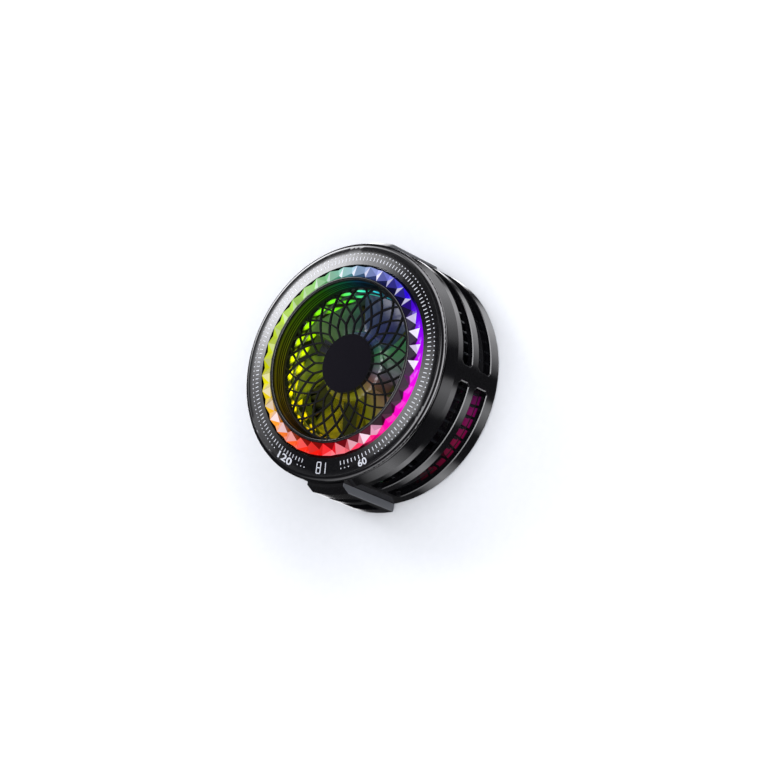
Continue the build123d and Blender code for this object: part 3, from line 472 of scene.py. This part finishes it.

# Metallised cone with turned grooves: mirror with a painted reflection of the ring's colours,
# partly as a glow
material, tree, shader, place = new_finish("metallised_grooves", Metallic=0.9, Roughness=0.12)
painted_cone_reflection = rainbow(
    tree,
    angle_of(tree, place),
    [
        (-179.9, "#6A6A04"),
        (-150, "#6E5E06"),
        (-130, "#5E3E12"),
        (-110, "#2A1206"),
        (-60, "#14040A"),
        (-10, "#12040E"),
        (40, "#0A0618"),
        (70, "#0C2030"),
        (88, "#1A5070"),
        (102, "#14704A"),
        (120, "#347A12"),
        (145, "#4E7A08"),
        (179.9, "#6A6A04"),
    ],
)
# Painted highlight and shade of each turned flank
painted_flank_shine = add_node(tree, "ShaderNodeAttribute", attribute_name="painted_flank_shine").outputs["Fac"]
line_colour = add_node(
    tree, "ShaderNodeMix", {0: painted_flank_shine, 6: linear("#050604"), 7: painted_cone_reflection}, data_type="RGBA"
).outputs[2]
mirror_tint = add_node(
    tree, "ShaderNodeMix", {0: 0.4, 6: linear("#030302"), 7: line_colour}, data_type="RGBA"
).outputs[2]
tree.links.new(mirror_tint, shader.inputs["Base Color"])
tree.links.new(line_colour, shader.inputs["Emission Color"])
shader.inputs["Emission Strength"].default_value = 0.7
grooved_mirror = material

# Clear guide with lens facets over the duct: painted light in the ring's colours, bright in each
# lens, dark between
material, tree, shader, place = new_finish("faceted_light_guide", Roughness=0.1, IOR=1.58)
guide_colour = rainbow(
    tree,
    angle_of(tree, place),
    [
        (-179.9, "#D8E000"),
        (-150, "#E8D400"),
        (-128, "#E8C800"),
        (-110, "#A07000"),
        (-80, "#5A1A00"),
        (-40, "#3A0A10"),
        (20, "#0A0A20"),
        (60, "#10305A"),
        (80, "#2AB8C8"),
        (96, "#40E0A0"),
        (112, "#50D020"),
        (140, "#7CE000"),
        (179.9, "#D8E000"),
    ],
)
painted_lens_share = add_node(tree, "ShaderNodeAttribute", attribute_name="lens").outputs["Fac"]
lens_colour = add_node(
    tree, "ShaderNodeMix", {0: painted_lens_share, 6: linear("#0C1002"), 7: guide_colour}, data_type="RGBA"
).outputs[2]
tree.links.new(lens_colour, shader.inputs["Base Color"])
tree.links.new(lens_colour, shader.inputs["Emission Color"])
shader.inputs["Emission Strength"].default_value = 0.9
guide_lenses = material

# Smoke polycarbonate of the fan: see-through grey, with the nearest light's colour painted on,
# partly as a glow
material, tree, shader, place = new_finish("smoke_polycarbonate", Roughness=0.18, IOR=1.58)
painted_blade_light = rainbow(
    tree,
    angle_of(tree, place),
    [
        (-179.9, "#42500E"),
        (-150, "#48520A"),
        (-120, "#5A560A"),
        (-95, "#5A5208"),
        (-70, "#66680E"),
        (-48, "#6A5C34"),
        (-30, "#5A4038"),
        (-12, "#4A4650"),
        (4, "#3E5046"),
        (20, "#2E5E38"),
        (38, "#22363C"),
        (55, "#20244A"),
        (80, "#283246"),
        (105, "#2A3C3A"),
        (125, "#344A34"),
        (150, "#3E5426"),
        (179.9, "#42500E"),
    ],
)
tree.links.new(painted_blade_light, shader.inputs["Base Color"])
tree.links.new(painted_blade_light, shader.inputs["Emission Color"])
shader.inputs["Emission Strength"].default_value = 0.3
smoke_plastic = material

# Rubbery pad: dark, even and without a glint
silicone = mottled("matt_silicone", "#131416", "#1D1E21", roughness=0.6, grain=0.3, bump=0.1)

# Faced on a lathe: bright, with a fine tool grain
bright_plate = mottled(
    "turned_aluminium", "#B4B7BB", "#D2D4D8", roughness=0.25, grain=0.2, bump=0.1, metallic=1.0
)

# Zinc plate: a cool grey metal with a soft shine
zinc_steel = mottled(
    "zinc_plated_steel", "#84888D", "#A3A7AB", roughness=0.32, grain=0.25, bump=0.1, metallic=1.0
)

# Nickel plate: smooth, bright and slightly warm
nickel = mottled(
    "nickel_plating", "#B2B4B7", "#C9CBCE", roughness=0.2, grain=0.4, bump=0.05, metallic=1.0
)

# Drawn sheet steel: bright, with faint drawing marks
port_steel = mottled(
    "drawn_steel", "#A9ACB0", "#C4C7CA", roughness=0.22, grain=0.2, bump=0.08, metallic=1.0
)

# Filled silicone pad: flat grey and powdery
thermal_pad = mottled(
    "filled_thermal_pad", "#83878E", "#979BA2", roughness=0.7, grain=0.2, bump=0.1
)

# Sintered ceramic: chalky white with a fine tooth
alumina = mottled("sintered_alumina", "#DEDCD5", "#EFEDE8", roughness=0.55, grain=0.15, bump=0.1)

# Sawn blocks: dull grey metal with saw grain
pellets = mottled(
    "sawn_semiconductor", "#4A4B50", "#64656B", roughness=0.45, grain=0.1, bump=0.2, metallic=0.6
)

# Foam: black, open to the eye and quite dull
foam = mottled("closed_cell_foam", "#121213", "#222224", roughness=0.9, grain=0.4, bump=0.5)

# Moulded epoxy: black with a fine blasted skin
epoxy = mottled("moulded_epoxy", "#131416", "#1D1E21", roughness=0.5, grain=0.15, bump=0.2)

# Wire cover: plain red with a soft shine
red_insulation = mottled(
    "red_wire_cover", "#8E1A17", "#B0251F", roughness=0.4, grain=0.3, bump=0.05
)

# Solder mask: dark green and glassy
solder_mask = mottled(
    "green_solder_mask", "#0D2B18", "#164026", roughness=0.25, grain=0.5, bump=0.1
)

# Polyimide: clear amber brown, smooth
polyimide = mottled("polyimide_film", "#9C6A28", "#BF8638", roughness=0.3, grain=0.6, bump=0.05)

# Enamelled wire: coppery, with the grain of its windings
copper = mottled(
    "enamelled_copper_wire", "#9C4E22", "#C06C36", roughness=0.3, grain=0.12, bump=0.3, metallic=0.9
)

# Natural nylon: milky white and waxy
nylon = mottled("white_nylon", "#CFCFC9", "#E0E0DB", roughness=0.5, grain=0.3, bump=0.1)

# Oiled sintered bronze: brown gold with open pores
bronze = mottled(
    "sintered_bronze", "#9C7B40", "#BC9854", roughness=0.45, grain=0.1, bump=0.3, metallic=0.9
)

# Bonded ferrite: dark brown grey, grainy
ferrite = mottled("bonded_ferrite", "#201E1A", "#302D27", roughness=0.6, grain=0.1, bump=0.2)

# Clear lens of a lamp: milky white, smooth
led_lens = mottled("lit_led_lens", "#E8EAF0", "#FFFFFF", roughness=0.3, grain=0.3, bump=0.02)

dress(["bezel", "trim_ring"], piano_black)
dress(["housing", "back_cover"], case_black)
dress(["hub_badge"], badge_film)
dress(["intake_grille"], grille_black)
dress(["impeller", "fan_frame"], smoke_plastic)
dress(["heat_sink"], anodised)
dress(["contact_pad"], silicone)
dress(["cold_plate"], bright_plate)
dress(["magnet_array"], nickel)
dress(["magnet_shunt"], phosphated)
dress(["cover_screws", "sink_screws", "fan_screws", "stator_core", "rotor_yoke"], zinc_steel)
dress(["cold_interface", "hot_interface"], thermal_pad)
dress(["cold_ceramic", "hot_ceramic"], alumina)
dress(["module_pellets"], pellets)
dress(["insulation_foam"], foam)
dress(["temperature_sensor", "controller_chip", "board_components"], epoxy)
dress(["usb_c_tongue", "display_digits"], epoxy)
dress(["module_leads"], red_insulation)
dress(["main_board", "motor_board", "front_board"], solder_mask)
dress(["usb_c_shell", "rotor_shaft"], port_steel)
dress(["fan_ribbon", "front_ribbon"], polyimide)
dress(["stator_coils"], copper)
dress(["thrust_pad", "shaft_clip", "light_carrier"], nylon)
dress(["bearing_sleeve"], bronze)
dress(["rotor_magnet"], ferrite)
dress(["rgb_lights"], led_lens)
dress(["crystal_ring"], lit_crystal)
dress(["reflector_cone"], grooved_mirror)
dress(["light_guide"], guide_lenses)


# ---------------------------------------------------------------- crystal ring
def level_between(stops, azimuth):
    """A value read between stops of (degrees, value), in rising degrees."""
    for (low, first), (high, second) in zip(stops, stops[1:]):
        if low <= azimuth <= high:
            return first + (second - first) * (azimuth - low) / (high - low)
    return stops[-1][1]


def crystal_facets():
    """Thirty-six cut modules: kites folded along their length, with triangles between them."""
    modules = 36
    step = 2 * pi / modules
    tip_radius, tip_top = 23.12, 23.55
    valley_radius, valley_top = 23.0, 22.85
    mid_radius, mid_top = 21.6, 22.7
    ledge_top = 22.3

    def spot(radius, turns, height):
        return (radius * cos(turns * step), radius * sin(turns * step), height)

    bm = bmesh.new()
    kind = bm.faces.layers.int.new("kind")
    outer = [bm.verts.new(spot(tip_radius, k, tip_top)) for k in (0, 1)]
    inner = [bm.verts.new(spot(crystal_inner_radius, k, crystal_inner_top)) for k in (0, 1)]
    valley = bm.verts.new(spot(valley_radius, 0.5, valley_top))
    middle = bm.verts.new(spot(mid_radius, 0.5, mid_top))
    ledge = [bm.verts.new(spot(crystal_outer_radius, k, ledge_top)) for k in (0, 0.5, 1)]
    low_outer = [bm.verts.new(spot(crystal_outer_radius, k, crystal_bottom)) for k in (0, 0.5, 1)]
    low_inner = [bm.verts.new(spot(crystal_inner_radius, k, crystal_bottom)) for k in (0, 1)]
    facets = [
        ((outer[0], middle, inner[0]), 1),
        ((outer[1], inner[1], middle), 2),
        ((outer[0], valley, middle), 3),
        ((valley, outer[1], middle), 4),
        ((inner[0], middle, inner[1]), 5),
        ((outer[0], ledge[0], ledge[1], valley), 6),
        ((valley, ledge[1], ledge[2], outer[1]), 6),
        ((ledge[0], low_outer[0], low_outer[1], ledge[1]), 6),
        ((ledge[1], low_outer[1], low_outer[2], ledge[2]), 6),
        ((inner[1], low_inner[1], low_inner[0], inner[0]), 6),
        ((low_outer[0], low_inner[0], low_inner[1], low_outer[2], low_outer[1]), 6),
    ]
    for corners, sort in facets:
        bm.faces.new(corners)[kind] = sort
    around_axis(bm, modules)
    bmesh.ops.recalc_face_normals(bm, faces=bm.faces)

    # Sorts: 1 and 2 the long kites, 3 and 4 the outer triangles, 5 the inner one, 6 the walls.
    # How much of each sort of facet carries a painted white highlight, and how strongly it glows
    # round the ring
    painted_glint = {
        1: [
            (-180, 0.25), (-155, 0.55), (-128, 0.8), (-112, 0.15), (-104, 0.03), (-86, 0.03),
            (-66, 0.7), (-50, 0.85), (-44, 0.0), (30, 0.0), (36, 0.75), (60, 0.85), (80, 1.0),
            (108, 0.9), (125, 0.5), (150, 0.4), (180, 0.25),
        ],
        2: [
            (-180, 0.1), (-155, 0.4), (-128, 0.5), (-112, 0.05), (-82, 0.0), (-66, 0.3),
            (-50, 0.6), (-44, 0.0), (-12, 0.0), (-8, 0.95), (14, 1.0), (31, 0.85), (36, 0.0),
            (60, 0.1), (90, 0.4), (112, 0.3), (140, 0.15), (180, 0.1),
        ],
        3: [
            (-180, 0.0), (-92, 0.0), (-80, 0.35), (-70, 0.05), (50, 0.0), (80, 0.5), (100, 0.4),
            (120, 0.1), (180, 0.0),
        ],
        4: [
            (-180, 0.0), (-92, 0.0), (-80, 0.3), (-60, 0.0), (50, 0.0), (90, 0.4), (115, 0.2),
            (180, 0.0),
        ],
    }
    # Painted light and shade: how strongly each sort of facet glows round the ring
    strength = {
        1: [
            (-180, 0.95), (-155, 1.0), (-128, 1.0), (-110, 0.9), (-80, 0.9), (-66, 0.9),
            (-50, 1.0), (-44, 0.06), (30, 0.04), (36, 0.75), (60, 0.85), (90, 1.1), (180, 0.95),
        ],
        2: [
            (-180, 0.85), (-150, 0.7), (-128, 0.85), (-110, 0.85), (-66, 0.6), (-50, 0.9),
            (-44, 0.04), (-12, 0.04), (-8, 1.0), (31, 0.9), (36, 0.25), (60, 0.35), (90, 0.7),
            (120, 0.8), (180, 0.85),
        ],
        3: [(-180, 1.1), (180, 1.1)],
        4: [(-180, 0.9), (-90, 1.0), (30, 1.0), (60, 0.7), (90, 0.75), (140, 0.9), (180, 0.9)],
        5: [
            (-180, 0.5), (-150, 0.5), (-120, 0.2), (-90, 0.25), (-45, 0.02), (60, 0.04),
            (95, 0.3), (140, 0.55), (180, 0.5),
        ],
        6: [(-180, 0.02), (180, 0.02)],
    }
    painted_glint_layer = bm.faces.layers.float.new("painted_glint")
    shine = bm.faces.layers.float.new("glow")
    for face in bm.faces:
        centre = face.calc_center_median()
        azimuth = degrees(atan2(centre.y, centre.x))
        # Neighbours differ a little, as cut facets do
        uneven = 0.5 + 0.5 * sin(7.3 * azimuth)
        # Painted white highlight and painted light level of each facet
        if face[kind] in painted_glint:
            face[painted_glint_layer] = level_between(painted_glint[face[kind]], azimuth) * (0.8 + 0.2 * uneven)
        face[shine] = level_between(strength[face[kind]], azimuth) * (0.75 + 0.25 * uneven)
    return finished_piece(bm, "crystal_facets", lit_crystal)


ring = crystal_facets()
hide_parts("crystal_ring")


# ---------------------------------------------------------------- marks on the bezel
def face_height(radius):
    """Height of the bezel's face at a radius, in millimetres."""
    slope = (bezel_inner_top - bezel_face_top) / (bezel_face_radius - bezel_inner_radius)
    return bezel_inner_top - (radius - bezel_inner_radius) * slope


def on_face(azimuth, radius):
    """Frame on the bezel's face: local X along the rim, local Y towards the fan's axis."""
    tilt = atan2(bezel_inner_top - bezel_face_top, bezel_face_radius - bezel_inner_radius)
    turn = Matrix.Rotation(radians(azimuth + 90), 4, "Z")
    lean = Matrix.Rotation(tilt, 4, "X")
    place = Matrix.Translation((0, -radius, face_height(radius)))
    return turn @ place @ lean


def dial_marks():
    """Bars and dots round the bezel, as thin inlays that stand just proud of it."""
    places, first, pitch = 150, -178.8, 2.4
    bar_width, bar_length, bar_ring = 0.21, 0.92, 25.12
    dot_radius, dot_ring, dot_sides = 0.155, 26.4, 10
    # Stretches in degrees that the display and the numbers keep free
    no_bars = [(-102.5, -79.0)]
    no_dots = [(-124.8, -108.5), (-101.8, -79.2), (-73, -57.5)]
    bm = bmesh.new()
    for k in range(places):
        azimuth = first + k * pitch
        if not any(low < azimuth < high for low, high in no_bars):
            size = Matrix.Diagonal((bar_width, bar_length, inlay_thickness, 1))
            bmesh.ops.create_cube(bm, size=1, matrix=on_face(azimuth, bar_ring) @ size)
        if not any(low < azimuth < high for low, high in no_dots):
            bmesh.ops.create_cone(
                bm,
                segments=dot_sides,
                cap_ends=True,
                radius1=dot_radius,
                radius2=dot_radius,
                depth=inlay_thickness,
                matrix=on_face(azimuth, dot_ring),
            )
    return finished_piece(bm, "dial_marks", dial_print)


marks = dial_marks()


def segment_digits():
    """Two seven-segment figures of the display, drawn as thin bars."""
    lit = {"8": "abcdefg", "1": "bc"}
    bar, gap, wide, tall, ring = 0.3, 0.06, 1.15, 2.6, 25.9
    half = tall / 2
    places = {
        "a": (0, half, wide, bar),
        "g": (0, 0, wide, bar),
        "d": (0, -half, wide, bar),
        "f": (-wide / 2, half / 2, bar, half),
        "b": (wide / 2, half / 2, bar, half),
        "e": (-wide / 2, -half / 2, bar, half),
        "c": (wide / 2, -half / 2, bar, half),
    }
    bm = bmesh.new()
    for figure, azimuth in (("8", -92.4), ("1", -89.2)):
        for letter in lit[figure]:
            x, y, across, up = places[letter]
            shape = Matrix.Diagonal((across - gap, up - gap, inlay_thickness, 1))
            spot = on_face(azimuth, ring) @ Matrix.Translation((x, y, 0)) @ shape
            bmesh.ops.create_cube(bm, size=1, matrix=spot)
    return finished_piece(bm, "display_figures", dial_print)


figures = segment_digits()


def printed_number(text, azimuth, width, height, name):
    """A plain number printed along the rim, as wide and as tall as given."""
    number_ring, thickening = 26.6, 0.035
    curve = bpy.data.curves.new(name, "FONT")
    curve.body = text
    curve.size = height
    curve.align_x = "CENTER"
    curve.align_y = "CENTER"
    curve.extrude = inlay_thickness / 2
    curve.offset = thickening
    curve.resolution_u = 4
    holder = bpy.data.objects.new(name, curve)
    mesh = bpy.data.meshes.new_from_object(holder)
    bpy.data.objects.remove(holder)
    bm = bmesh.new()
    bm.from_mesh(mesh)
    bpy.data.meshes.remove(mesh)
    low = [min(vert.co[k] for vert in bm.verts) for k in (0, 1)]
    high = [max(vert.co[k] for vert in bm.verts) for k in (0, 1)]
    centre = Vector(((low[0] + high[0]) / 2, (low[1] + high[1]) / 2, 0))
    bmesh.ops.translate(bm, vec=-centre, verts=bm.verts)
    stretch = (width / (high[0] - low[0]), height / (high[1] - low[1]), 1)
    bmesh.ops.scale(bm, vec=stretch, verts=bm.verts)
    bmesh.ops.transform(bm, matrix=on_face(azimuth, number_ring), verts=bm.verts)
    piece = finished_piece(bm, name, dial_print)
    return piece


printed_number("120", azimuth=-116.3, width=4.9, height=1.75, name="left_number")
printed_number("60", azimuth=-64.8, width=2.5, height=1.7, name="right_number")


# ---------------------------------------------------------------- rims, mirror cone and guides
def softened(name, new_name, material, width, segments, least, chosen):
    """A copy of a solid with its chosen sharp edges rounded over, which replaces it."""
    flat_within, smooth_within = 0.02, 13
    bm = bmesh.new()
    bm.from_mesh(nodes[name].data)
    bmesh.ops.scale(bm, vec=(1 / mm, 1 / mm, 1 / mm), verts=bm.verts)
    bmesh.ops.remove_doubles(bm, verts=bm.verts, dist=1e-3)
    bmesh.ops.dissolve_limit(
        bm, angle_limit=radians(flat_within), verts=bm.verts, edges=bm.edges
    )
    sharp = [
        edge
        for edge in bm.edges
        if edge.is_manifold
        and edge.calc_face_angle(0) > radians(least)
        and all(chosen(vert.co) for vert in edge.verts)
    ]
    bmesh.ops.bevel(
        bm,
        geom=sharp,
        offset=width,
        segments=segments,
        profile=0.5,
        affect="EDGES",
        material=-1,
        clamp_overlap=True,
    )
    bmesh.ops.recalc_face_normals(bm, faces=bm.faces)
    piece = finished_piece(bm, new_name, material, smooth=True)
    piece.data.set_sharp_from_angle(angle=radians(smooth_within))
    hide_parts(name)
    return piece


def on_outer_rim(co):
    """Whether a point of the bezel is on its outer rim."""
    return co.z > 21.6 and Vector(co[:2]).length > 28.9


rim = softened(
    "bezel",
    "bezel_soft_rim",
    piano_black,
    width=0.22,
    segments=3,
    least=20,
    chosen=on_outer_rim,
)


def vent_rim(bm, middle, half_width, low, high):
    """Fine raised rim round one vent opening: drawn flat, then bent round the case."""
    crest_out, crest_in, proud = 0.14, 0.05, 0.05
    drop, corner, reach, taper = 0.17, 0.86, 0.35, 0.02
    sunk, cut_every = 0.01, 1.5
    bent = bmesh.new()
    long_half = radians(half_width) * case_radius + crest_out
    corners = [
        bent.verts.new((x, y, 0))
        for x, y in (
            (-long_half, low - crest_out),
            (long_half, low - crest_out),
            (long_half, high + crest_out),
            (-long_half, high + crest_out),
        )
    ]
    bent.faces.new(corners)
    bmesh.ops.bevel(
        bent,
        geom=corners,
        offset=corner,
        segments=1,
        profile=0.5,
        affect="VERTICES",
        material=-1,
    )
    opening = bent.faces[:]
    for thickness, depth in ((crest_out - crest_in, proud), (drop, -drop), (taper, -reach)):
        bmesh.ops.inset_region(
            bent,
            faces=opening,
            thickness=thickness,
            depth=depth,
            use_boundary=True,
            use_even_offset=True,
        )
    bmesh.ops.delete(bent, geom=opening, context="FACES")
    outline = [edge for edge in open_edges(bent) if abs(edge.verts[0].co.z) < 0.001]
    for vert in extruded_rims(bent, outline):
        vert.co.z = proud - drop - reach
    bmesh.ops.bridge_loops(bent, edges=open_edges(bent))
    cuts = 2 * int(half_width // cut_every)
    for k in range(1, cuts):
        bmesh.ops.bisect_plane(
            bent,
            geom=bent.verts[:] + bent.edges[:] + bent.faces[:],
            plane_co=(long_half * (2 * k / cuts - 1), 0, 0),
            plane_no=(1, 0, 0),
        )
    bmesh.ops.recalc_face_normals(bent, faces=bent.faces)
    for vert in bent.verts:
        turn = radians(middle) + vert.co.x / case_radius
        radius = case_radius - sunk + vert.co.z
        vert.co = (radius * cos(turn), radius * sin(turn), vert.co.y)
    mesh = bpy.data.meshes.new("vent_rim")
    bent.to_mesh(mesh)
    bent.free()
    bm.from_mesh(mesh)
    bpy.data.meshes.remove(mesh)


def vent_rims():
    """The rims of all eight vent openings, two rows of four."""
    half_width = 34.6
    bm = bmesh.new()
    for middle in (38.3, 141.7, -38.3, -141.7):
        for low, high in ((3.5, 8.5), (10.95, 14.95)):
            vent_rim(bm, middle, half_width, low, high)
    return finished_piece(bm, "vent_rims", piano_black)


rims = vent_rims()


def grooved_cone():
    """Cone between trim and grille, with fine turned grooves on its inner face."""
    low, high = 20.8, 23.7
    low_radius, high_radius = 18.75, 19.3
    grooves, depth, turned_steps = 5, 0.12, 144
    wall, foot_radius, foot_top = 0.33, 19.6, low + 0.3
    bm = bmesh.new()
    line = []
    for k in range(2 * grooves + 1):
        share = k / (2 * grooves)
        radius = low_radius + (high_radius - low_radius) * share + depth * (k % 2)
        line.append((radius, 0, low + (high - low) * share))
    line += [
        (high_radius + wall, 0, high),
        (low_radius + wall, 0, foot_top),
        (foot_radius, 0, foot_top),
        (foot_radius, 0, low),
    ]
    ring_verts = [bm.verts.new(p) for p in line]
    edges = [bm.edges.new(pair) for pair in zip(ring_verts, ring_verts[1:] + ring_verts[:1])]
    bmesh.ops.spin(
        bm,
        geom=ring_verts + edges,
        axis=(0, 0, 1),
        angle=2 * pi,
        steps=turned_steps,
        use_merge=True,
    )
    bmesh.ops.recalc_face_normals(bm, faces=bm.faces)
    # Painted highlight and shade of each turned flank, from the lowest up
    painted_flank_shine = bm.faces.layers.float.new("painted_flank_shine")
    shades = [0.12, 1.0, 0.08, 0.9, 0.1, 0.7, 0.1, 0.45, 0.55, 0.2]
    for face in bm.faces:
        share = (face.calc_center_median().z - low) / (high - low)
        face[painted_flank_shine] = shades[min(int(share * 2 * grooves), 2 * grooves - 1)]
    return finished_piece(bm, "reflector_grooves", grooved_mirror)


cone = grooved_cone()
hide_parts("reflector_cone")


def bright_spot(x, y, strength, half_across, half_up):
    """How bright a lens's painted light is at a point of it: full in the middle, dark at its edges.
    """
    return min(1.0, max(0.0, strength * (1 - (x / half_across) ** 2 - (y / half_up) ** 2)))


def lens_row(bm, lenses, squares, low, high, lean, start, spot, inner_radius):
    """One row of lenses round the fan's axis, from a grid that is bent into each lens."""
    step = 2 * pi / lenses
    # Each point's share of its lens's painted light
    share = bm.verts.layers.float.new("lens")
    bmesh.ops.create_grid(bm, x_segments=squares, y_segments=squares, size=0.5)
    for vert in bm.verts:
        x, y = vert.co.x, vert.co.y
        vert[share] = bright_spot(x, y, *spot)
        radius = inner_radius(x, y)
        turn = (x + start + lean * y) * step
        vert.co = (radius * cos(turn), radius * sin(turn), (low + high) / 2 + y * (high - low))
    around_axis(bm, lenses)


def lens_guide():
    """Guide ring whose inner face bulges into long lenses side by side."""
    bulge, fullness, back = 0.45, 0.7, 19.35
    spot = (1.7, 0.4, 0.48)

    def inner_radius(x, y):
        inside = abs(x) < 0.499 and abs(y) < 0.499
        swell = (cos(pi * x) * cos(pi * y)) ** fullness if inside else 0
        return duct_radius + bulge * (1 - swell)

    bm = bmesh.new()
    lens_row(
        bm,
        lenses=27,
        squares=8,
        low=17.4,
        high=19.7,
        lean=0.35,
        start=0.0,
        spot=spot,
        inner_radius=inner_radius,
    )
    close_back(bm, back)
    return finished_piece(bm, "guide_lens_ring", guide_lenses, smooth=True)


guide = lens_guide()
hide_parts("light_guide")


def duct_lenses():
    """A thin sleeve on the duct's wall, above the blades' lead-in, with a second row of lenses
    whose glow is painted light.
    """
    clearance, bulge, back = 0.04, 0.16, duct_radius - 0.005
    spot = (1.6, 0.3, 0.46)

    def inner_radius(x, y):
        return duct_radius - clearance - bulge * bright_spot(x, y, *spot)

    bm = bmesh.new()
    lens_row(
        bm,
        lenses=27,
        squares=6,
        low=14.3,
        high=17.3,
        lean=0.5,
        start=0.5,
        spot=spot,
        inner_radius=inner_radius,
    )
    close_back(bm, back)
    return finished_piece(bm, "duct_lenses", guide_lenses, smooth=True)


sleeve = duct_lenses()


# ---------------------------------------------------------------- floor, lights, camera
def studio_surround():
    """A dim room with soft lamps on the left, and strips of light that draw the edges."""
    world = bpy.data.worlds.new("studio_world")
    bpy.context.scene.world = world
    world.use_nodes = True
    tree = world.node_tree
    tree.nodes.clear()
    way = add_node(tree, "ShaderNodeTexCoord").outputs["Generated"]
    rise = add_node(tree, "ShaderNodeSeparateXYZ", {"Vector": way}).outputs["Z"]
    turn = angle_of(tree, way)

    # Round soft lamps: azimuth, height, where each is full, where it is dark, strength
    lamps = [
        (150, 25, 3, 19, 12.0),
        (138, 38, 1, 13, 5.0),
        (165, 36, 1, 14, 1.6),
        (175, 78, 4, 20, 6.0),
        (158, -42, 4, 24, 3.0),
    ]
    lights = []
    for azimuth, height, inner, outer, power in lamps:
        aim = (
            cos(radians(height)) * cos(radians(azimuth)),
            cos(radians(height)) * sin(radians(azimuth)),
            sin(radians(height)),
        )
        near = add_node(
            tree, "ShaderNodeVectorMath", {0: way, 1: aim}, operation="DOT_PRODUCT"
        ).outputs["Value"]
        reach = {"From Min": cos(radians(outer)), "From Max": cos(radians(inner))}
        lights.append(
            add_node(
                tree,
                "ShaderNodeMapRange",
                {"Value": near, "To Max": power, **reach},
                interpolation_type="SMOOTHSTEP",
            ).outputs["Result"]
        )

    low_strips = [
        (-179.9, "#000000"),
        (-110, "#000000"),
        (-97, "#B4B4B4"),
        (-81, "#FFFFFF"),
        (-65, "#B4B4B4"),
        (-60, "#000000"),
        (-29, "#000000"),
        (-20, "#B4B4B4"),
        (-5, "#FFFFFF"),
        (2, "#E0E0E0"),
        (5, "#000000"),
        (29, "#000000"),
        (38, "#A0A0A0"),
        (52, "#E0E0E0"),
        (78, "#FFFFFF"),
        (100, "#D0D0D0"),
        (116, "#000000"),
        (179.9, "#000000"),
    ]
    edge_light = [
        (-179.9, "#000000"),
        (-160, "#000000"),
        (-128, "#707070"),
        (-88, "#A0A0A0"),
        (-45, "#C8C8C8"),
        (-20, "#FFFFFF"),
        (20, "#F4F4F4"),
        (61, "#F4F4F4"),
        (100, "#D8D8D8"),
        (122, "#404040"),
        (135, "#000000"),
        (179.9, "#000000"),
    ]
    # Walls of light all round the room: dark below, full from, full to, dark above (the sine of
    # the height), strength
    walls = [
        (low_strips, -1.1, -1.05, -0.3, -0.06, 2.4),
        (edge_light, 0.3, 0.42, 0.66, 0.76, 8.5),
    ]
    for stops, low, full, fading, high, power in walls:
        wall = rainbow(tree, turn, stops)
        for first, last, most in ((low, full, power), (high, fading, 1.0)):
            band = add_node(
                tree,
                "ShaderNodeMapRange",
                {"Value": rise, "From Min": first, "From Max": last, "To Max": most},
                interpolation_type="SMOOTHSTEP",
            ).outputs["Result"]
            wall = add_node(
                tree, "ShaderNodeMath", {0: wall, 1: band}, operation="MULTIPLY"
            ).outputs[0]
        lights.append(wall)
    total = 0.05
    for light in lights:
        total = add_node(
            tree, "ShaderNodeMath", {0: total, 1: light}, operation="ADD"
        ).outputs[0]
    lit = add_node(
        tree, "ShaderNodeBackground", {"Color": linear("#FBFBFF"), "Strength": total}
    ).outputs[0]
    seen = add_node(
        tree, "ShaderNodeBackground", {"Color": linear("#F2F3F6"), "Strength": 1.0}
    ).outputs[0]
    camera_ray = add_node(tree, "ShaderNodeLightPath").outputs["Is Camera Ray"]
    shown = add_node(tree, "ShaderNodeMixShader", {0: camera_ray, 1: lit, 2: seen}).outputs[0]
    add_node(tree, "ShaderNodeOutputWorld", {"Surface": shown})


def studio():
    """Pale floor, a soft overhead lamp and the camera at the photograph's angle."""
    floor_half = 3.0
    bm = bmesh.new()
    bmesh.ops.create_grid(bm, x_segments=1, y_segments=1, size=floor_half)
    mesh = bpy.data.meshes.new("studio_floor")
    bm.to_mesh(mesh)
    bm.free()
    floor = bpy.data.objects.new("studio_floor", mesh)
    bpy.context.scene.collection.objects.link(floor)
    # Matt background paper: pale and even, so that only the soft shadow shows
    paper = mottled(
        "pale_paper_floor", "#AAACAF", "#B0B2B5", roughness=0.8, grain=2.0, bump=0.0
    )
    mesh.materials.append(paper)
    floor.visible_glossy = False
    studio_surround()

    softbox = bpy.data.lights.new("overhead_fill", "AREA")
    softbox.shape = "RECTANGLE"
    softbox.size, softbox.size_y = 1.2, 1.2
    softbox.energy = 12
    holder = bpy.data.objects.new("overhead_fill", softbox)
    holder.location = (0.35, -0.35, 1.4)
    towards = Vector((0, 0, 12 * mm)) - holder.location
    holder.rotation_euler = towards.to_track_quat("-Z", "Y").to_euler()
    holder.visible_glossy = False
    bpy.context.scene.collection.objects.link(holder)

    camera = bpy.data.cameras.new("photo_camera")
    camera.sensor_width = 36.0
    camera.lens = 150.0
    holder = bpy.data.objects.new("photo_camera", camera)
    holder.location = (0.466078, -0.157721, 0.588648)
    holder.rotation_euler = (radians(19.4448), radians(35.8451), radians(12.4784))
    bpy.context.scene.collection.objects.link(holder)
    bpy.context.scene.camera = holder
    bpy.context.scene.view_settings.view_transform = "Standard"


studio()
